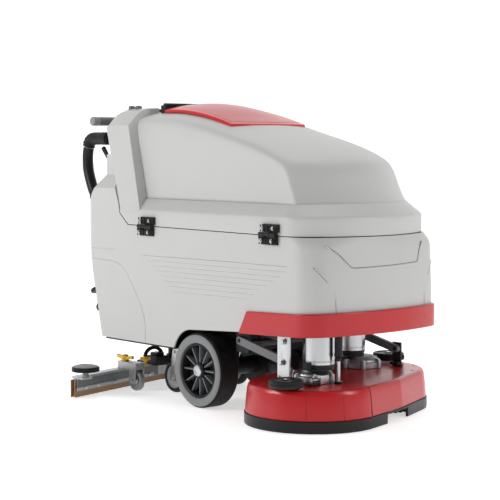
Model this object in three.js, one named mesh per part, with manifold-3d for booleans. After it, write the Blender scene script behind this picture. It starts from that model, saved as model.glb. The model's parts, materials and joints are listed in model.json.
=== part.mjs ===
// Walk-behind wet dry floor scrubber with two staggered disc brushes.
// Millimetres. +X is forward, +Y is the machine's left, +Z is up, and the floor is z = 0.
// Shapes are drawn with x = 0 at the drive axle; the whole machine is then shifted by AXLE_X,
// which puts the middle of its box at x = 0.

import * as THREE from 'three';
import { ConvexGeometry } from 'three/addons/geometries/ConvexGeometry.js';
import { mergeVertices } from 'three/addons/utils/BufferGeometryUtils.js';
import Module from 'manifold-3d';

const wasm = await Module();
wasm.setup();

// ---------------------------------------------------------------- driving dimensions

const GAP = 0.3; // between pieces that touch
const ROUND_GAP = 1; // around a hose in its bore, whose sides are flats
const SIDES = [['right', -1], ['left', 1]];

// Lower shell, seen from above and from the side
const BODY_HALF_WIDTH = 313;
const SEAM_FRONT_X = 616;
const SEAM_FRONT_RADIUS = 504;
const SEAM_CORNER_RADIUS = 121;
const FOOT_FRONT_X = 638;
const FOOT_FRONT_RADIUS = 790;
const FOOT_CORNER_RADIUS = 94;
const REAR_CORNER_RADIUS = 60;
const SHELL_WALL = 6;
const SEAM_Z = 637; // at the axle; the seam drops slightly towards the front
const SEAM_SLOPE = -0.008;
const SEAM_GAP = 3;
const SEAM_REAR_X = -421;
const SHELL_BOTTOM_Z = 204;
const REAR_TOP = [-703, 690];
const REAR_BOTTOM_X = -590;
const BULGE_BACK = 11; // the front wall leans back by this much up to BULGE_Z
const BULGE_Z = 598; // the wall is upright below this height and leans in to the seam above it
const SHOULDER_Z = 828;
const COLUMN_REAR_X = -593;
const COLUMN_TOP_Z = 905;
const COLUMN_HALF_WIDTH = 283;
const COLUMN_FLARE_Z = 742; // where the column's sides start to lean in
const ARCH = { rear: -141, front: -30, bend: -112, top: 279 }; // wheel arch
const KINK = [-471, 685]; // where the seam turns up behind the tank
const TANK_REAR_FOOT = [-476, 718];
const TANK_REAR_TOP = [-597, 1026];

// Front band
const BAND_HALF_WIDTH = BODY_HALF_WIDTH + 8;
const BAND_FRONT_X = 647;
const BAND_FRONT_RADIUS = 802;
const BAND_CORNER_RADIUS = 101;
const BAND_BOTTOM_Z = 281;
const BAND_HEIGHT = 79;
const BAND_SLOPE = 0.04;
const BAND_REAR_TOP_X = 270;
const BAND_REAR_BOTTOM_X = 227;

// Recovery tank
const FLANGE_TOP_Z = 700;
const LEDGE_TOP_Z = 741;
const TANK_FOOT_HALF_WIDTH = 270;
const CREASE_HALF_WIDTH = 258;
const PILLAR_FRONT_X = [-345, -445]; // at the ledge and at the crease
const TANK_WALL = 6;
const TANK_FRONT_BOW = 92;
const CROWN_RISE = 42;
const CROWN_FALL = [-300, 380]; // the crown flattens between these
const TANK_FOOT = { front: 562, frontRadius: 420, corner: 60 };
const PILLAR_TOP = [[290, 1015], [240, 1064], [200, 1079], [0, 1085]]; // from the side to the middle
const PILLAR_ROUND = { x: -560, drop: 34 }; // the pillar's top falls off behind here
const FILL_OPENING = { x0: -335, x1: -25, halfWidth: 140 };

// Lid
const LID = { x0: -362, x1: 28, halfWidth: 182, bow: 34, edge: 14, crown: 6 };
const DASH = { x0: -588, x1: -445, half: 138, thick: 6 };
const DASH_POCKET = { front: -440, half: 144, floor: 1058 }; // open to the rear
const KEY = { x: -520, y: 60, radius: 10 };
const STOP = { x: -520, y: -80, radius: 14 };
const LID_HINGE_X = -380;
const LID_HINGE_RADIUS = 8;
const LID_HINGE_HALF = 168;

// Side hinges of the tank
const TILT_Y = -BODY_HALF_WIDTH - 13;
const TILT_Z = 640;
const HINGE_X = { rear: -296, front: 388 };
const HINGE_WIDTH = 82;
const HINGE_SHIFT = 7; // the upper leaf sits this far ahead of the lower one
const HINGE_LEAF_HEIGHT = 27;
const KNUCKLE_RADIUS = 8;

// Drive wheels
const WHEEL_RADIUS = 135;
const WHEEL_WIDTH = 90;
const WHEEL_OUTER_Y = 321;
const RIM_RADIUS = 97;
const HUB_RADIUS = 29;
const SPOKES = 12;
const AXLE_RADIUS = 13;

// Rear casters
const CASTER = { x: -300, y: 150, radius: 60, width: 34, trail: 32, plateZ: 187 };

// Frame and what it carries
const PAN = { z: 196, thick: 8, rear: -578, front: -150 };
const RAIL = { y: 170, half: 20, z0: 210, z1: 248 };
const BATTERY = { x0: -285, length: 488, depth: 188, height: 270 };

// Deck lift linkage: a yoke with an arm on each side, and an upper link on the right side only
const ARM_FRAME_PIVOT = [180, 257];
const ARM_DECK_PIVOT = [418, 206];
const ARM_RISE = 72; // upper link above lower arm
const ARM_LEAD = 9; // upper link ahead of lower arm
const ARM_Y = BODY_HALF_WIDTH - 45;
const ARM_THICK = 14;
const ARM_HEIGHT = 28;
const YOKE_TUBE_PLACE = 0.2; // share of the arm, from the frame's pivot
const PIVOT_RADIUS = 7;
const PLATE = { thick: 8, back: 26, foot: 7 };
const PLATE_FRONT = { right: 34, left: 14 };
const PLATE_FOOT = { right: 40, left: 14 };
const PLATE_ABOVE_PIVOT = { right: ARM_RISE + 20, left: 22 };

// Brush deck: two lobes, the right one ahead of the left one
const LOBES = { right: [474, -195], left: [358, 185] };
const LOBE_RADIUS = { right: 228, left: 206 };
const DECK_BULGE = 12;
const DECK_BOTTOM_Z = 41;
const DECK_TOP_Z = 140;
const DECK_WALL = 6;
const SKIRT_FLOOR_GAP = 1;
const SKIRT_THICK = 10;
const SKIRT_SPLIT = { right: -97, left: 60 }; // along the line between the lobes
const BRUSH_RADIUS = 194;
const MOTOR_RADIUS = 55;
const MOTOR_TOP_Z = 388;
const GEARBOX_OFFSET = { right: [0, 0], left: [-20, -17] };
const MOTOR_OFFSET = { right: [28, 0], left: [-28, -26] }; // from the gearbox
const GEARBOX_RADIUS = 74;
const GEARBOX_HEIGHT = 44;
const DECK_ROLLER = { out: -38, radius: 58, height: 36, z: 134 };
const DECK_ROLLER_ALONG = { right: 72, left: -60 };
const STRUT_RADIUS = 15;
const STRUT_TO_MOTOR = 4.33; // clear space between the strut's barrel and the right motor
const STRUT_TURN = 0.343; // radians from straight ahead of the right motor
const STRUT = strutPlace();

// Squeegee: two straight halves in a V, ends forward
const SQUEEGEE_HALF = 527;
const SQUEEGEE_APEX_X = -614;
const SQUEEGEE_SWEEP = 0.289;
const SQUEEGEE_TOP_Z = 78;
const SQUEEGEE_FACE_Z = 24;
const BLADE_THICK = 4;
const BLADE_TOP_Z = 66;
const BLADE_FLOOR_GAP = 0.8;
const TIP_ROLLER = { x: -448, y: 490, radius: 53, height: 24, z: 92 };
const SUCTION = { x: -545, neck: 27, panHole: 30 };
const SUPPORT = { x: -461, y: 244, radius: 40, width: 26, top: 108 };
const CARRIER_PIVOT = [-345, 160];

// Handlebar, hose, lever and tap
const BAR = { x: -680, z: 1032, radius: 15.5, half: 285, bracketY: 190 };
const HOSE_RADIUS = 21;
const HOSE_Y = -262;
const CUFF_FOOT = [-674.4, 729.8]; // on the shoulder's slope
const PORT = { z: 965, x: -612, radius: 27 };
const LEVER = { pivot: [-600, 884], y: -266, length: 62, width: 12 };
const TAP = { y: -262, z: 308, reach: 62, knobRadius: 23 };

// Where the drive axle stands in the finished frame
const AXLE_X = 28.3;

// ---------------------------------------------------------------- materials

function finish(color, roughness, metalness) {
  return new THREE.MeshStandardMaterial({ color, roughness, metalness });
}

const SHELL_GREY = finish(0xc8c8c6, 0.5, 0);
const SIGNAL_RED = finish(0xc62028, 0.32, 0);
const BLACK_PLASTIC = finish(0x1c1c1e, 0.5, 0);
const BLACK_STEEL = finish(0x232326, 0.45, 0.6);
const RUBBER = finish(0x161618, 0.8, 0);
const GREY_RUBBER = finish(0x8f9092, 0.7, 0);
const BLADE_RUBBER = finish(0x9a7a4c, 0.55, 0);
const STEEL = finish(0xb9babd, 0.3, 0.9);
const CAST_ALLOY = finish(0xa9abad, 0.45, 0.7);
const BAR_GREY = finish(0x6d6f72, 0.5, 0.3);
const YELLOW = finish(0xe8b517, 0.45, 0);
const BATTERY_CASE = finish(0x2b2d33, 0.6, 0);

// ---------------------------------------------------------------- shape helpers

function solid(geometry) {
  const bare = new THREE.BufferGeometry();
  bare.setAttribute('position', geometry.attributes.position);
  bare.setIndex(geometry.index);
  const merged = mergeVertices(bare, 1e-4);
  const vertProperties = new Float32Array(merged.attributes.position.array);
  const triVerts = new Uint32Array(merged.index.array);
  return new wasm.Manifold(new wasm.Mesh({ numProp: 3, vertProperties, triVerts }));
}

function geometryOf(manifold) {
  const mesh = manifold.getMesh();
  const geometry = new THREE.BufferGeometry();
  geometry.setAttribute('position', new THREE.BufferAttribute(new Float32Array(mesh.vertProperties), 3));
  geometry.setIndex(new THREE.BufferAttribute(new Uint32Array(mesh.triVerts), 1));
  geometry.computeVertexNormals();
  return geometry;
}

function join(...pieces) {
  return pieces.reduce((whole, piece) => whole.add(piece));
}

function cut(whole, ...tools) {
  return tools.reduce((rest, tool) => rest.subtract(tool), whole);
}

function box(x0, x1, y0, y1, z0, z1) {
  const geometry = new THREE.BoxGeometry(x1 - x0, y1 - y0, z1 - z0);
  geometry.translate((x0 + x1) / 2, (y0 + y1) / 2, (z0 + z1) / 2);
  return solid(geometry);
}

// A round bar from one point to another, straight or tapered
function rod(from, to, radius, endRadius = radius, sides = 16) {
  const start = new THREE.Vector3(...from);
  const end = new THREE.Vector3(...to);
  const along = end.clone().sub(start);
  const geometry = new THREE.CylinderGeometry(endRadius, radius, along.length(), sides);
  geometry.applyQuaternion(new THREE.Quaternion().setFromUnitVectors(
    new THREE.Vector3(0, 1, 0),
    along.clone().normalize(),
  ));
  geometry.translate(...start.add(end).multiplyScalar(0.5).toArray());
  return solid(geometry);
}

// A turned piece about the Z axis, from (radius, height) corners
function turned(corners, sides = 28) {
  return solid(new THREE.LatheGeometry(corners.map((c) => new THREE.Vector2(...c)), sides).rotateX(Math.PI / 2));
}

function alongY(piece) {
  return piece.rotate([-90, 0, 0]);
}

function outline(corners) {
  return new THREE.Shape(corners.map((c) => new THREE.Vector2(...c)));
}

// A flat outline in x and y, raised from z0 to z1
function slabZ(shape, z0, z1, curveSegments = 12) {
  const geometry = new THREE.ExtrudeGeometry(shape, { depth: z1 - z0, bevelEnabled: false, curveSegments });
  return solid(geometry.translate(0, 0, z0));
}

// A side outline in x and z, spread from y0 to y1
function slabY(shape, y0, y1, curveSegments = 12) {
  const geometry = new THREE.ExtrudeGeometry(shape, { depth: y1 - y0, bevelEnabled: false, curveSegments });
  return solid(geometry.rotateX(Math.PI / 2).translate(0, y1, 0));
}

function hull(points) {
  return solid(new ConvexGeometry(points.map((p) => new THREE.Vector3(...p))));
}

function pipe(points, radius, sides = 12, steps = 18) {
  const path = new THREE.CatmullRomCurve3(points.map((p) => new THREE.Vector3(...p)), false, 'centripetal');
  const section = new THREE.Shape().absarc(0, 0, radius, 0, Math.PI * 2);
  return solid(new THREE.ExtrudeGeometry(section, {
    steps,
    extrudePath: path,
    curveSegments: sides / 2,
    bevelEnabled: false,
  }));
}

function mix(a, b, t) {
  return a + (b - a) * t;
}

// ---------------------------------------------------------------- collecting the pieces

const scrubber = new THREE.Group();
scrubber.position.x = AXLE_X;

function place(name, manifold, material) {
  const mesh = new THREE.Mesh(geometryOf(manifold), material);
  mesh.name = name;
  scrubber.add(mesh);
}

// ---------------------------------------------------------------- body outlines

// The body from above: straight sides, a bowed front and rounded corners
function bowedPlan(halfWidth, frontX, frontRadius, cornerRadius, rearX, rearRadius) {
  const bowX = frontX - frontRadius;
  const cornerY = halfWidth - cornerRadius;
  const cornerX = bowX + Math.sqrt((frontRadius - cornerRadius) ** 2 - cornerY ** 2);
  const turn = Math.atan2(cornerY, cornerX - bowX);
  const plan = new THREE.Shape();
  plan.moveTo(rearX + rearRadius, -halfWidth);
  plan.lineTo(cornerX, -halfWidth);
  plan.absarc(cornerX, -cornerY, cornerRadius, -Math.PI / 2, -turn);
  plan.absarc(bowX, 0, frontRadius, -turn, turn);
  plan.absarc(cornerX, cornerY, cornerRadius, turn, Math.PI / 2);
  plan.lineTo(rearX + rearRadius, halfWidth);
  plan.absarc(rearX + rearRadius, halfWidth - rearRadius, rearRadius, Math.PI / 2, Math.PI);
  plan.absarc(rearX + rearRadius, rearRadius - halfWidth, rearRadius, Math.PI, Math.PI * 1.5);
  return plan;
}

function seamPlan(inset) {
  return bowedPlan(
    BODY_HALF_WIDTH - inset,
    SEAM_FRONT_X - inset,
    SEAM_FRONT_RADIUS - inset,
    SEAM_CORNER_RADIUS - inset,
    REAR_TOP[0] + inset,
    REAR_CORNER_RADIUS - inset,
  );
}

function footPlan(inset, back = 0) {
  return bowedPlan(
    BODY_HALF_WIDTH - inset,
    FOOT_FRONT_X - inset - back,
    FOOT_FRONT_RADIUS - inset - back,
    FOOT_CORNER_RADIUS - inset,
    REAR_TOP[0] + inset,
    REAR_CORNER_RADIUS - inset,
  );
}

function ring(plan, z, divisions = 6) {
  return plan.getPoints(divisions).map((p) => [p.x, p.y, z]);
}

function seamZ(x) {
  return SEAM_Z + SEAM_SLOPE * x;
}

function bandZ(x) {
  return BAND_BOTTOM_Z + BAND_SLOPE * x;
}

// The body as one full block, before its side outline is cut
function bodyBlock(inset) {
  const below = hull([
    ...ring(footPlan(inset), SHELL_BOTTOM_Z - 60),
    ...ring(footPlan(inset), BAND_BOTTOM_Z),
    ...ring(footPlan(inset, BULGE_BACK), BULGE_Z),
    ...ring(seamPlan(inset), seamZ(SEAM_REAR_X) + 1),
  ]);
  return below.add(slabZ(seamPlan(inset), seamZ(SEAM_REAR_X), COLUMN_TOP_Z + 60, 6));
}

// The wheel arch rises from the shell's bottom edge to the run-up towards the band
function archCorners(inset) {
  const top = ARCH.top + inset;
  const curve = new THREE.QuadraticBezierCurve(
    new THREE.Vector2(ARCH.front, top),
    new THREE.Vector2(ARCH.bend, top),
    new THREE.Vector2(ARCH.rear - inset, SHELL_BOTTOM_Z),
  );
  return curve.getPoints(6).map((p) => [p.x, p.y]);
}

// What is taken off each side of the column so that it narrows above the shoulder
function columnSides(inset) {
  const y = COLUMN_HALF_WIDTH - inset;
  const flare = BODY_HALF_WIDTH + 20 - inset;
  const front = tankRearX(COLUMN_TOP_Z) + 60;
  return SIDES.map(([, s]) => hull([REAR_TOP[0] - 40, front].flatMap((x) => [
    [x, s * y, SHOULDER_Z], [x, s * y, COLUMN_TOP_Z + 70], [x, s * flare, COLUMN_FLARE_Z],
    [x, s * (flare + 60), COLUMN_FLARE_Z], [x, s * (flare + 60), COLUMN_TOP_Z + 70],
  ])));
}

// ---------------------------------------------------------------- lower shell and band

function baseShell() {
  const side = outline([
    [FOOT_FRONT_X + 20, bandZ(FOOT_FRONT_X) + 5],
    [BAND_REAR_BOTTOM_X, bandZ(BAND_REAR_BOTTOM_X) + 5],
    ...archCorners(0),
    [REAR_BOTTOM_X, SHELL_BOTTOM_Z],
    REAR_TOP,
    [REAR_TOP[0] + 8, REAR_TOP[1] + 15],
    [COLUMN_REAR_X, SHOULDER_Z],
    [COLUMN_REAR_X, COLUMN_TOP_Z],
    [tankRearX(COLUMN_TOP_Z) - SEAM_GAP, COLUMN_TOP_Z],
    [TANK_REAR_FOOT[0] - SEAM_GAP, TANK_REAR_FOOT[1]],
    [KINK[0] - SEAM_GAP, KINK[1]],
    [SEAM_REAR_X, seamZ(SEAM_REAR_X)],
    [SEAM_FRONT_X + 40, seamZ(SEAM_FRONT_X)],
  ]);
  const w = SHELL_WALL;
  const hollow = outline([
    [FOOT_FRONT_X + 20, SHELL_BOTTOM_Z - 30],
    [REAR_BOTTOM_X + w, SHELL_BOTTOM_Z - 30],
    [REAR_BOTTOM_X + w, SHELL_BOTTOM_Z],
    [REAR_TOP[0] + w, REAR_TOP[1]],
    [COLUMN_REAR_X + w, SHOULDER_Z - w],
    [COLUMN_REAR_X + w, COLUMN_TOP_Z - w],
    [tankRearX(COLUMN_TOP_Z) - SEAM_GAP - 2 * w, COLUMN_TOP_Z - w],
    [TANK_REAR_FOOT[0] - SEAM_GAP - w, TANK_REAR_FOOT[1]],
    [KINK[0] - SEAM_GAP - w, KINK[1] + 2],
    [SEAM_REAR_X - 2, seamZ(SEAM_REAR_X) - w],
    [SEAM_REAR_X + 10, seamZ(SEAM_REAR_X) - w],
    [SEAM_REAR_X + 10, SEAM_Z + 40],
    [SEAM_FRONT_X + 40, SEAM_Z + 40],
  ]);
  const outer = cut(bodyBlock(0).intersect(slabY(side, -400, 400)), ...columnSides(0));
  const inner = cut(bodyBlock(w).intersect(slabY(hollow, -400, 400)), ...columnSides(w));
  const [cx, cz] = CUFF_FOOT;
  const hoseHole = rod([cx - 23, HOSE_Y, cz + 19], [cx + 31, HOSE_Y, cz - 26], HOSE_RADIUS + 1.5);
  place('base_shell', outer.subtract(inner).subtract(hoseHole), SHELL_GREY);
}

function frontBand() {
  const plan = bowedPlan(
    BAND_HALF_WIDTH,
    BAND_FRONT_X,
    BAND_FRONT_RADIUS,
    BAND_CORNER_RADIUS,
    REAR_TOP[0],
    REAR_CORNER_RADIUS,
  );
  const front = BAND_FRONT_X + 20;
  const side = outline([
    [BAND_REAR_BOTTOM_X, bandZ(BAND_REAR_BOTTOM_X)],
    [front, bandZ(front)],
    [front, bandZ(front) + BAND_HEIGHT],
    [BAND_REAR_TOP_X, bandZ(BAND_REAR_TOP_X) + BAND_HEIGHT],
  ]);
  const block = slabZ(plan, 200, 460).intersect(slabY(side, -400, 400));
  place('front_band', block.subtract(bodyBlock(-GAP)), SIGNAL_RED);
}

// ---------------------------------------------------------------- recovery tank

// The tank's rear wall leans back as it rises
function tankRearX(z) {
  const lean = (TANK_REAR_TOP[0] - TANK_REAR_FOOT[0]) / (TANK_REAR_TOP[1] - TANK_REAR_FOOT[1]);
  return TANK_REAR_FOOT[0] + lean * (z - TANK_REAR_FOOT[1]);
}

// The crease where the side wall turns into the crowned top, seen from the side
const CREASE = new THREE.SplineCurve([
  new THREE.Vector2(-590, 1020),
  new THREE.Vector2(-450, 1034),
  new THREE.Vector2(-270, 1036),
  new THREE.Vector2(-96, 1017),
  new THREE.Vector2(77, 979),
  new THREE.Vector2(228, 943),
  new THREE.Vector2(352, 901),
  new THREE.Vector2(406, 863),
  new THREE.Vector2(440, 795),
  new THREE.Vector2(469, LEDGE_TOP_Z),
]);

// How far the middle of the top stands above the crease; it flattens towards the front
function crownRise(x) {
  return CROWN_RISE * (1 - THREE.MathUtils.smoothstep(x, CROWN_FALL[0], CROWN_FALL[1]));
}

function crownPoint(t, across, inset) {
  const crease = CREASE.getPoint(t);
  const round = 1 - across * across;
  const forward = THREE.MathUtils.smoothstep(crease.x, -250, 430);
  const rise = crownRise(crease.x);
  const frontInset = THREE.MathUtils.smoothstep(crease.x, 300, 470);
  return [
    crease.x + TANK_FRONT_BOW * forward * round - inset * frontInset,
    across * (CREASE_HALF_WIDTH - inset),
    crease.y + rise * round - inset * (1 - 0.6 * frontInset),
  ];
}

function tankTop(inset) {
  const points = [];
  for (let i = 0; i <= 22; i += 1) {
    for (const across of [-1, -0.7, -0.35, 0, 0.35, 0.7, 1]) {
      points.push(crownPoint(i / 22, across, inset));
    }
  }
  const footX = TANK_REAR_FOOT[0] + inset;
  const { front, frontRadius, corner } = TANK_FOOT;
  const foot = bowedPlan(TANK_FOOT_HALF_WIDTH - inset, front - inset, frontRadius, corner, footX, 20);
  return hull([...points, ...ring(foot, LEDGE_TOP_Z - 1, 5)]);
}

function tankFlange(inset) {
  const rim = slabZ(seamPlan(inset), SEAM_Z - 20, FLANGE_TOP_Z, 6);
  const { front, frontRadius, corner } = TANK_FOOT;
  const foot = bowedPlan(TANK_FOOT_HALF_WIDTH + 2 - inset, front + 6 - inset, frontRadius + 20, corner + 10, -640, 20);
  const ledge = hull([
    ...ring(seamPlan(inset), FLANGE_TOP_Z - 0.5),
    ...ring(foot, LEDGE_TOP_Z, 5),
  ]);
  return rim.add(ledge);
}

// The full-width rear end of the tank, behind the recessed side panels
function tankPillar(inset) {
  const points = [];
  const [footFront, headFront] = PILLAR_FRONT_X;
  for (const side of [-1, 1]) {
    const foot = side * (BODY_HALF_WIDTH - inset);
    points.push([-640, foot, FLANGE_TOP_Z - 2], [footFront - inset, foot, FLANGE_TOP_Z - 2]);
    for (const [halfWidth, height] of PILLAR_TOP) {
      const y = side * Math.max(0, halfWidth - inset);
      const z = height - inset;
      points.push([-640, y, z - PILLAR_ROUND.drop], [PILLAR_ROUND.x, y, z], [headFront - inset, y, z]);
    }
  }
  return hull(points);
}

function tankSide(inset) {
  return slabY(outline([
    [SEAM_FRONT_X + 60, seamZ(SEAM_FRONT_X) + SEAM_GAP + inset],
    [SEAM_FRONT_X + 60, 1150],
    [tankRearX(1150) + inset, 1150],
    [TANK_REAR_FOOT[0] + inset, TANK_REAR_FOOT[1]],
    [KINK[0] + inset, KINK[1]],
    [SEAM_REAR_X + inset, seamZ(SEAM_REAR_X) + SEAM_GAP + inset],
  ]), -400, 400);
}

function recoveryTank() {
  const outer = join(tankFlange(0), tankTop(0), tankPillar(0))
    .intersect(tankSide(0))
    .subtract(dashPocket(0));
  const inner = join(tankFlange(TANK_WALL), tankTop(TANK_WALL), tankPillar(TANK_WALL))
    .intersect(tankSide(TANK_WALL))
    .subtract(dashPocket(TANK_WALL));
  const { x0, x1, halfWidth } = FILL_OPENING;
  const opening = box(x0, x1, -halfWidth, halfWidth, 960, 1150);
  const boss = rod([PORT.x, HOSE_Y, PORT.z], [tankRearX(PORT.z) + 12, HOSE_Y, PORT.z], PORT.radius);
  const shell = cut(outer.add(boss), inner, opening);
  const bore = rod([PORT.x - 5, HOSE_Y, PORT.z], [tankRearX(PORT.z) + 30, HOSE_Y, PORT.z], HOSE_RADIUS - 3);
  place('recovery_tank', shell.subtract(bore), SHELL_GREY);
}

function crownZ(x, y) {
  const curve = CREASE.getPoints(60);
  const after = curve.findIndex((p) => p.x >= x);
  const a = curve[after - 1];
  const b = curve[after];
  const z = mix(a.y, b.y, (x - a.x) / (b.x - a.x));
  return z + crownRise(x) * (1 - (y / CREASE_HALF_WIDTH) ** 2);
}

function lid() {
  const points = [];
  for (let i = 0; i <= 8; i += 1) {
    for (const across of [-1, -0.6, -0.2, 0.2, 0.6, 1]) {
      const y = across * LID.halfWidth;
      const x = mix(LID.x0, LID.x1 + LID.bow * (1 - across * across), i / 8);
      const puff = LID.crown * Math.sin(Math.PI * Math.min(1, i / 8 + 0.15)) * (1 - across ** 2);
      points.push([x, y, crownZ(x, y) + LID.edge + puff], [x, y, crownZ(x, y) - 25]);
    }
  }
  place('lid', cut(hull(points), tankRoom()), SIGNAL_RED);
}

function lidHinge() {
  const x = LID_HINGE_X;
  const y = LID_HINGE_HALF;
  const z = crownZ(x, 0) + LID_HINGE_RADIUS + 4;
  const barrel = rod([x, -y, z], [x, y, z], LID_HINGE_RADIUS);
  const foot = box(x - 22, x + 6, -y, y, z - 60, z);
  place('lid_hinge', cut(join(barrel, foot), tankRoom()), BLACK_PLASTIC);
}

// The tank's top with a clearance all over, for what lies on it
function tankRoom() {
  return tankTop(0).add(tankPillar(0)).translate([0, 0, GAP]);
}

// The recess in the tank's top that the dash panel lies in
function dashPocket(wall) {
  const { front, half, floor } = DASH_POCKET;
  return box(-700, front + wall, -half - wall, half + wall, floor - wall, 1200);
}

function dash() {
  const { x0, x1, half, thick } = DASH;
  const z = DASH_POCKET.floor + GAP;
  const top = z + thick;
  const panel = box(x0, x1, -half, half, z, top);
  const holes = [KEY, STOP].map((c) => rod([c.x, c.y, z - 5], [c.x, c.y, top + 5], c.radius + GAP));
  place('dash_panel', cut(panel, ...holes), BLACK_PLASTIC);
  const barrel = rod([KEY.x, KEY.y, z], [KEY.x, KEY.y, top + 3], KEY.radius);
  const grip = box(KEY.x - 9, KEY.x + 9, KEY.y - 1.5, KEY.y + 1.5, top + 2, top + 16);
  place('key_switch', join(barrel, grip), STEEL);
  const stem = rod([STOP.x, STOP.y, z + 4], [STOP.x, STOP.y, top + 7], STOP.radius);
  const head = turned([[0, 0], [STOP.radius + 5, 0], [STOP.radius + 3, 8], [0, 11]]);
  place('stop_button', stem.add(head.translate([STOP.x, STOP.y, top + 6])), SIGNAL_RED);
}

// ---------------------------------------------------------------- tank hinges

function hingeKnuckle(x0, x1) {
  return rod([x0, TILT_Y, TILT_Z], [x1, TILT_Y, TILT_Z], KNUCKLE_RADIUS, KNUCKLE_RADIUS, 16);
}

function tankHinges() {
  const face = -BODY_HALF_WIDTH - GAP;
  const third = HINGE_WIDTH / 3;
  for (const [end, x] of Object.entries(HINGE_X)) {
    const x0 = x - HINGE_WIDTH / 2;
    const x1 = x + HINGE_WIDTH / 2;
    const low = box(x0, x1, face - 8, face, TILT_Z - 8 - HINGE_LEAF_HEIGHT, TILT_Z - 8);
    const lowWebs = [[x0, x0 + third - 1], [x1 - third + 1, x1]].map(([a, b]) => join(
      hingeKnuckle(a, b),
      box(a, b, TILT_Y - 6, face - 2, TILT_Z - 14, TILT_Z - 1),
    ));
    place(`hinge_lower_${end}`, join(low, ...lowWebs), BLACK_PLASTIC);
    const shift = HINGE_SHIFT;
    const high = box(x0 + shift, x1 + shift, face - 8, face, TILT_Z + 8, TILT_Z + 8 + HINGE_LEAF_HEIGHT);
    const highWeb = join(
      hingeKnuckle(x0 + third, x1 - third),
      box(x0 + third, x1 - third, TILT_Y - 6, face - 2, TILT_Z + 1, TILT_Z + 14),
    );
    place(`hinge_upper_${end}`, join(high, highWeb), BLACK_PLASTIC);
  }
}

// ---------------------------------------------------------------- frame and inner parts

// The strut stands beside the right motor
function strutPlace() {
  const reach = MOTOR_RADIUS + STRUT_RADIUS + STRUT_TO_MOTOR;
  const [lobeX, lobeY] = LOBES.right;
  const [gearX, gearY] = GEARBOX_OFFSET.right;
  const [motorX, motorY] = MOTOR_OFFSET.right;
  return {
    x: lobeX + gearX + motorX + reach * Math.cos(STRUT_TURN),
    y: lobeY + gearY + motorY + reach * Math.sin(STRUT_TURN),
    radius: STRUT_RADIUS,
  };
}

function chassisFrame() {
  const inner = BODY_HALF_WIDTH - SHELL_WALL - 4;
  const pan = box(PAN.rear, PAN.front, -inner, inner, PAN.z, PAN.z + PAN.thick);
  const rails = SIDES.map(([, s]) => {
    const y = s * RAIL.y;
    return box(PAN.rear + 30, 215, y - RAIL.half, y + RAIL.half, PAN.z + 6, RAIL.z1);
  });
  const crossBar = box(150, 205, -ARM_Y + 12, ARM_Y - 12, RAIL.z1 - 30, RAIL.z1);
  const ears = SIDES.map(([, s]) => frameEar(s));
  const axleClamps = SIDES.map(([, s]) => box(-45, 45, s * 170 - 12, s * 170 + 12, 140, RAIL.z1 - 5));
  const axleRoom = rod([0, -240, WHEEL_RADIUS], [0, 240, WHEEL_RADIUS], 32 + GAP);
  const hoseHole = rod([SUCTION.x, 0, PAN.z - 5], [SUCTION.x, 0, PAN.z + 20], SUCTION.panHole);
  const clevis = SIDES.map(([, s]) => box(
    CARRIER_PIVOT[0] - 20, CARRIER_PIVOT[0] + 20, s * 40 - 5, s * 40 + 5, CARRIER_PIVOT[1] - 16, PAN.z + 2,
  ));
  const carrierPin = rod([CARRIER_PIVOT[0], -44, CARRIER_PIVOT[1]], [CARRIER_PIVOT[0], 44, CARRIER_PIVOT[1]], 8);
  const frame = join(pan, ...rails, crossBar, ...ears, ...axleClamps, ...clevis, carrierPin);
  place('chassis_frame', cut(frame, axleRoom, hoseHole), BLACK_STEEL);
}

// An ear on each side of the frame with a pin for the yoke, and on the right one for the upper link
function frameEar(s) {
  const inside = s * (ARM_Y - ARM_THICK / 2 - 1);
  const outside = s * (ARM_Y + ARM_THICK / 2 + 3);
  const [px, pz] = ARM_FRAME_PIVOT;
  const top = s < 0 ? pz + ARM_RISE + 22 : pz + 22;
  const plate = box(px - 32, px + 34, Math.min(inside, inside - s * 12), Math.max(inside, inside - s * 12),
    RAIL.z1 - 34, top);
  const lower = rod([px, inside, pz], [px, outside, pz], PIVOT_RADIUS);
  const upper = rod([px + ARM_LEAD, inside, pz + ARM_RISE], [px + ARM_LEAD, outside, pz + ARM_RISE], PIVOT_RADIUS);
  return s < 0 ? join(plate, lower, upper) : join(plate, lower);
}

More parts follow.
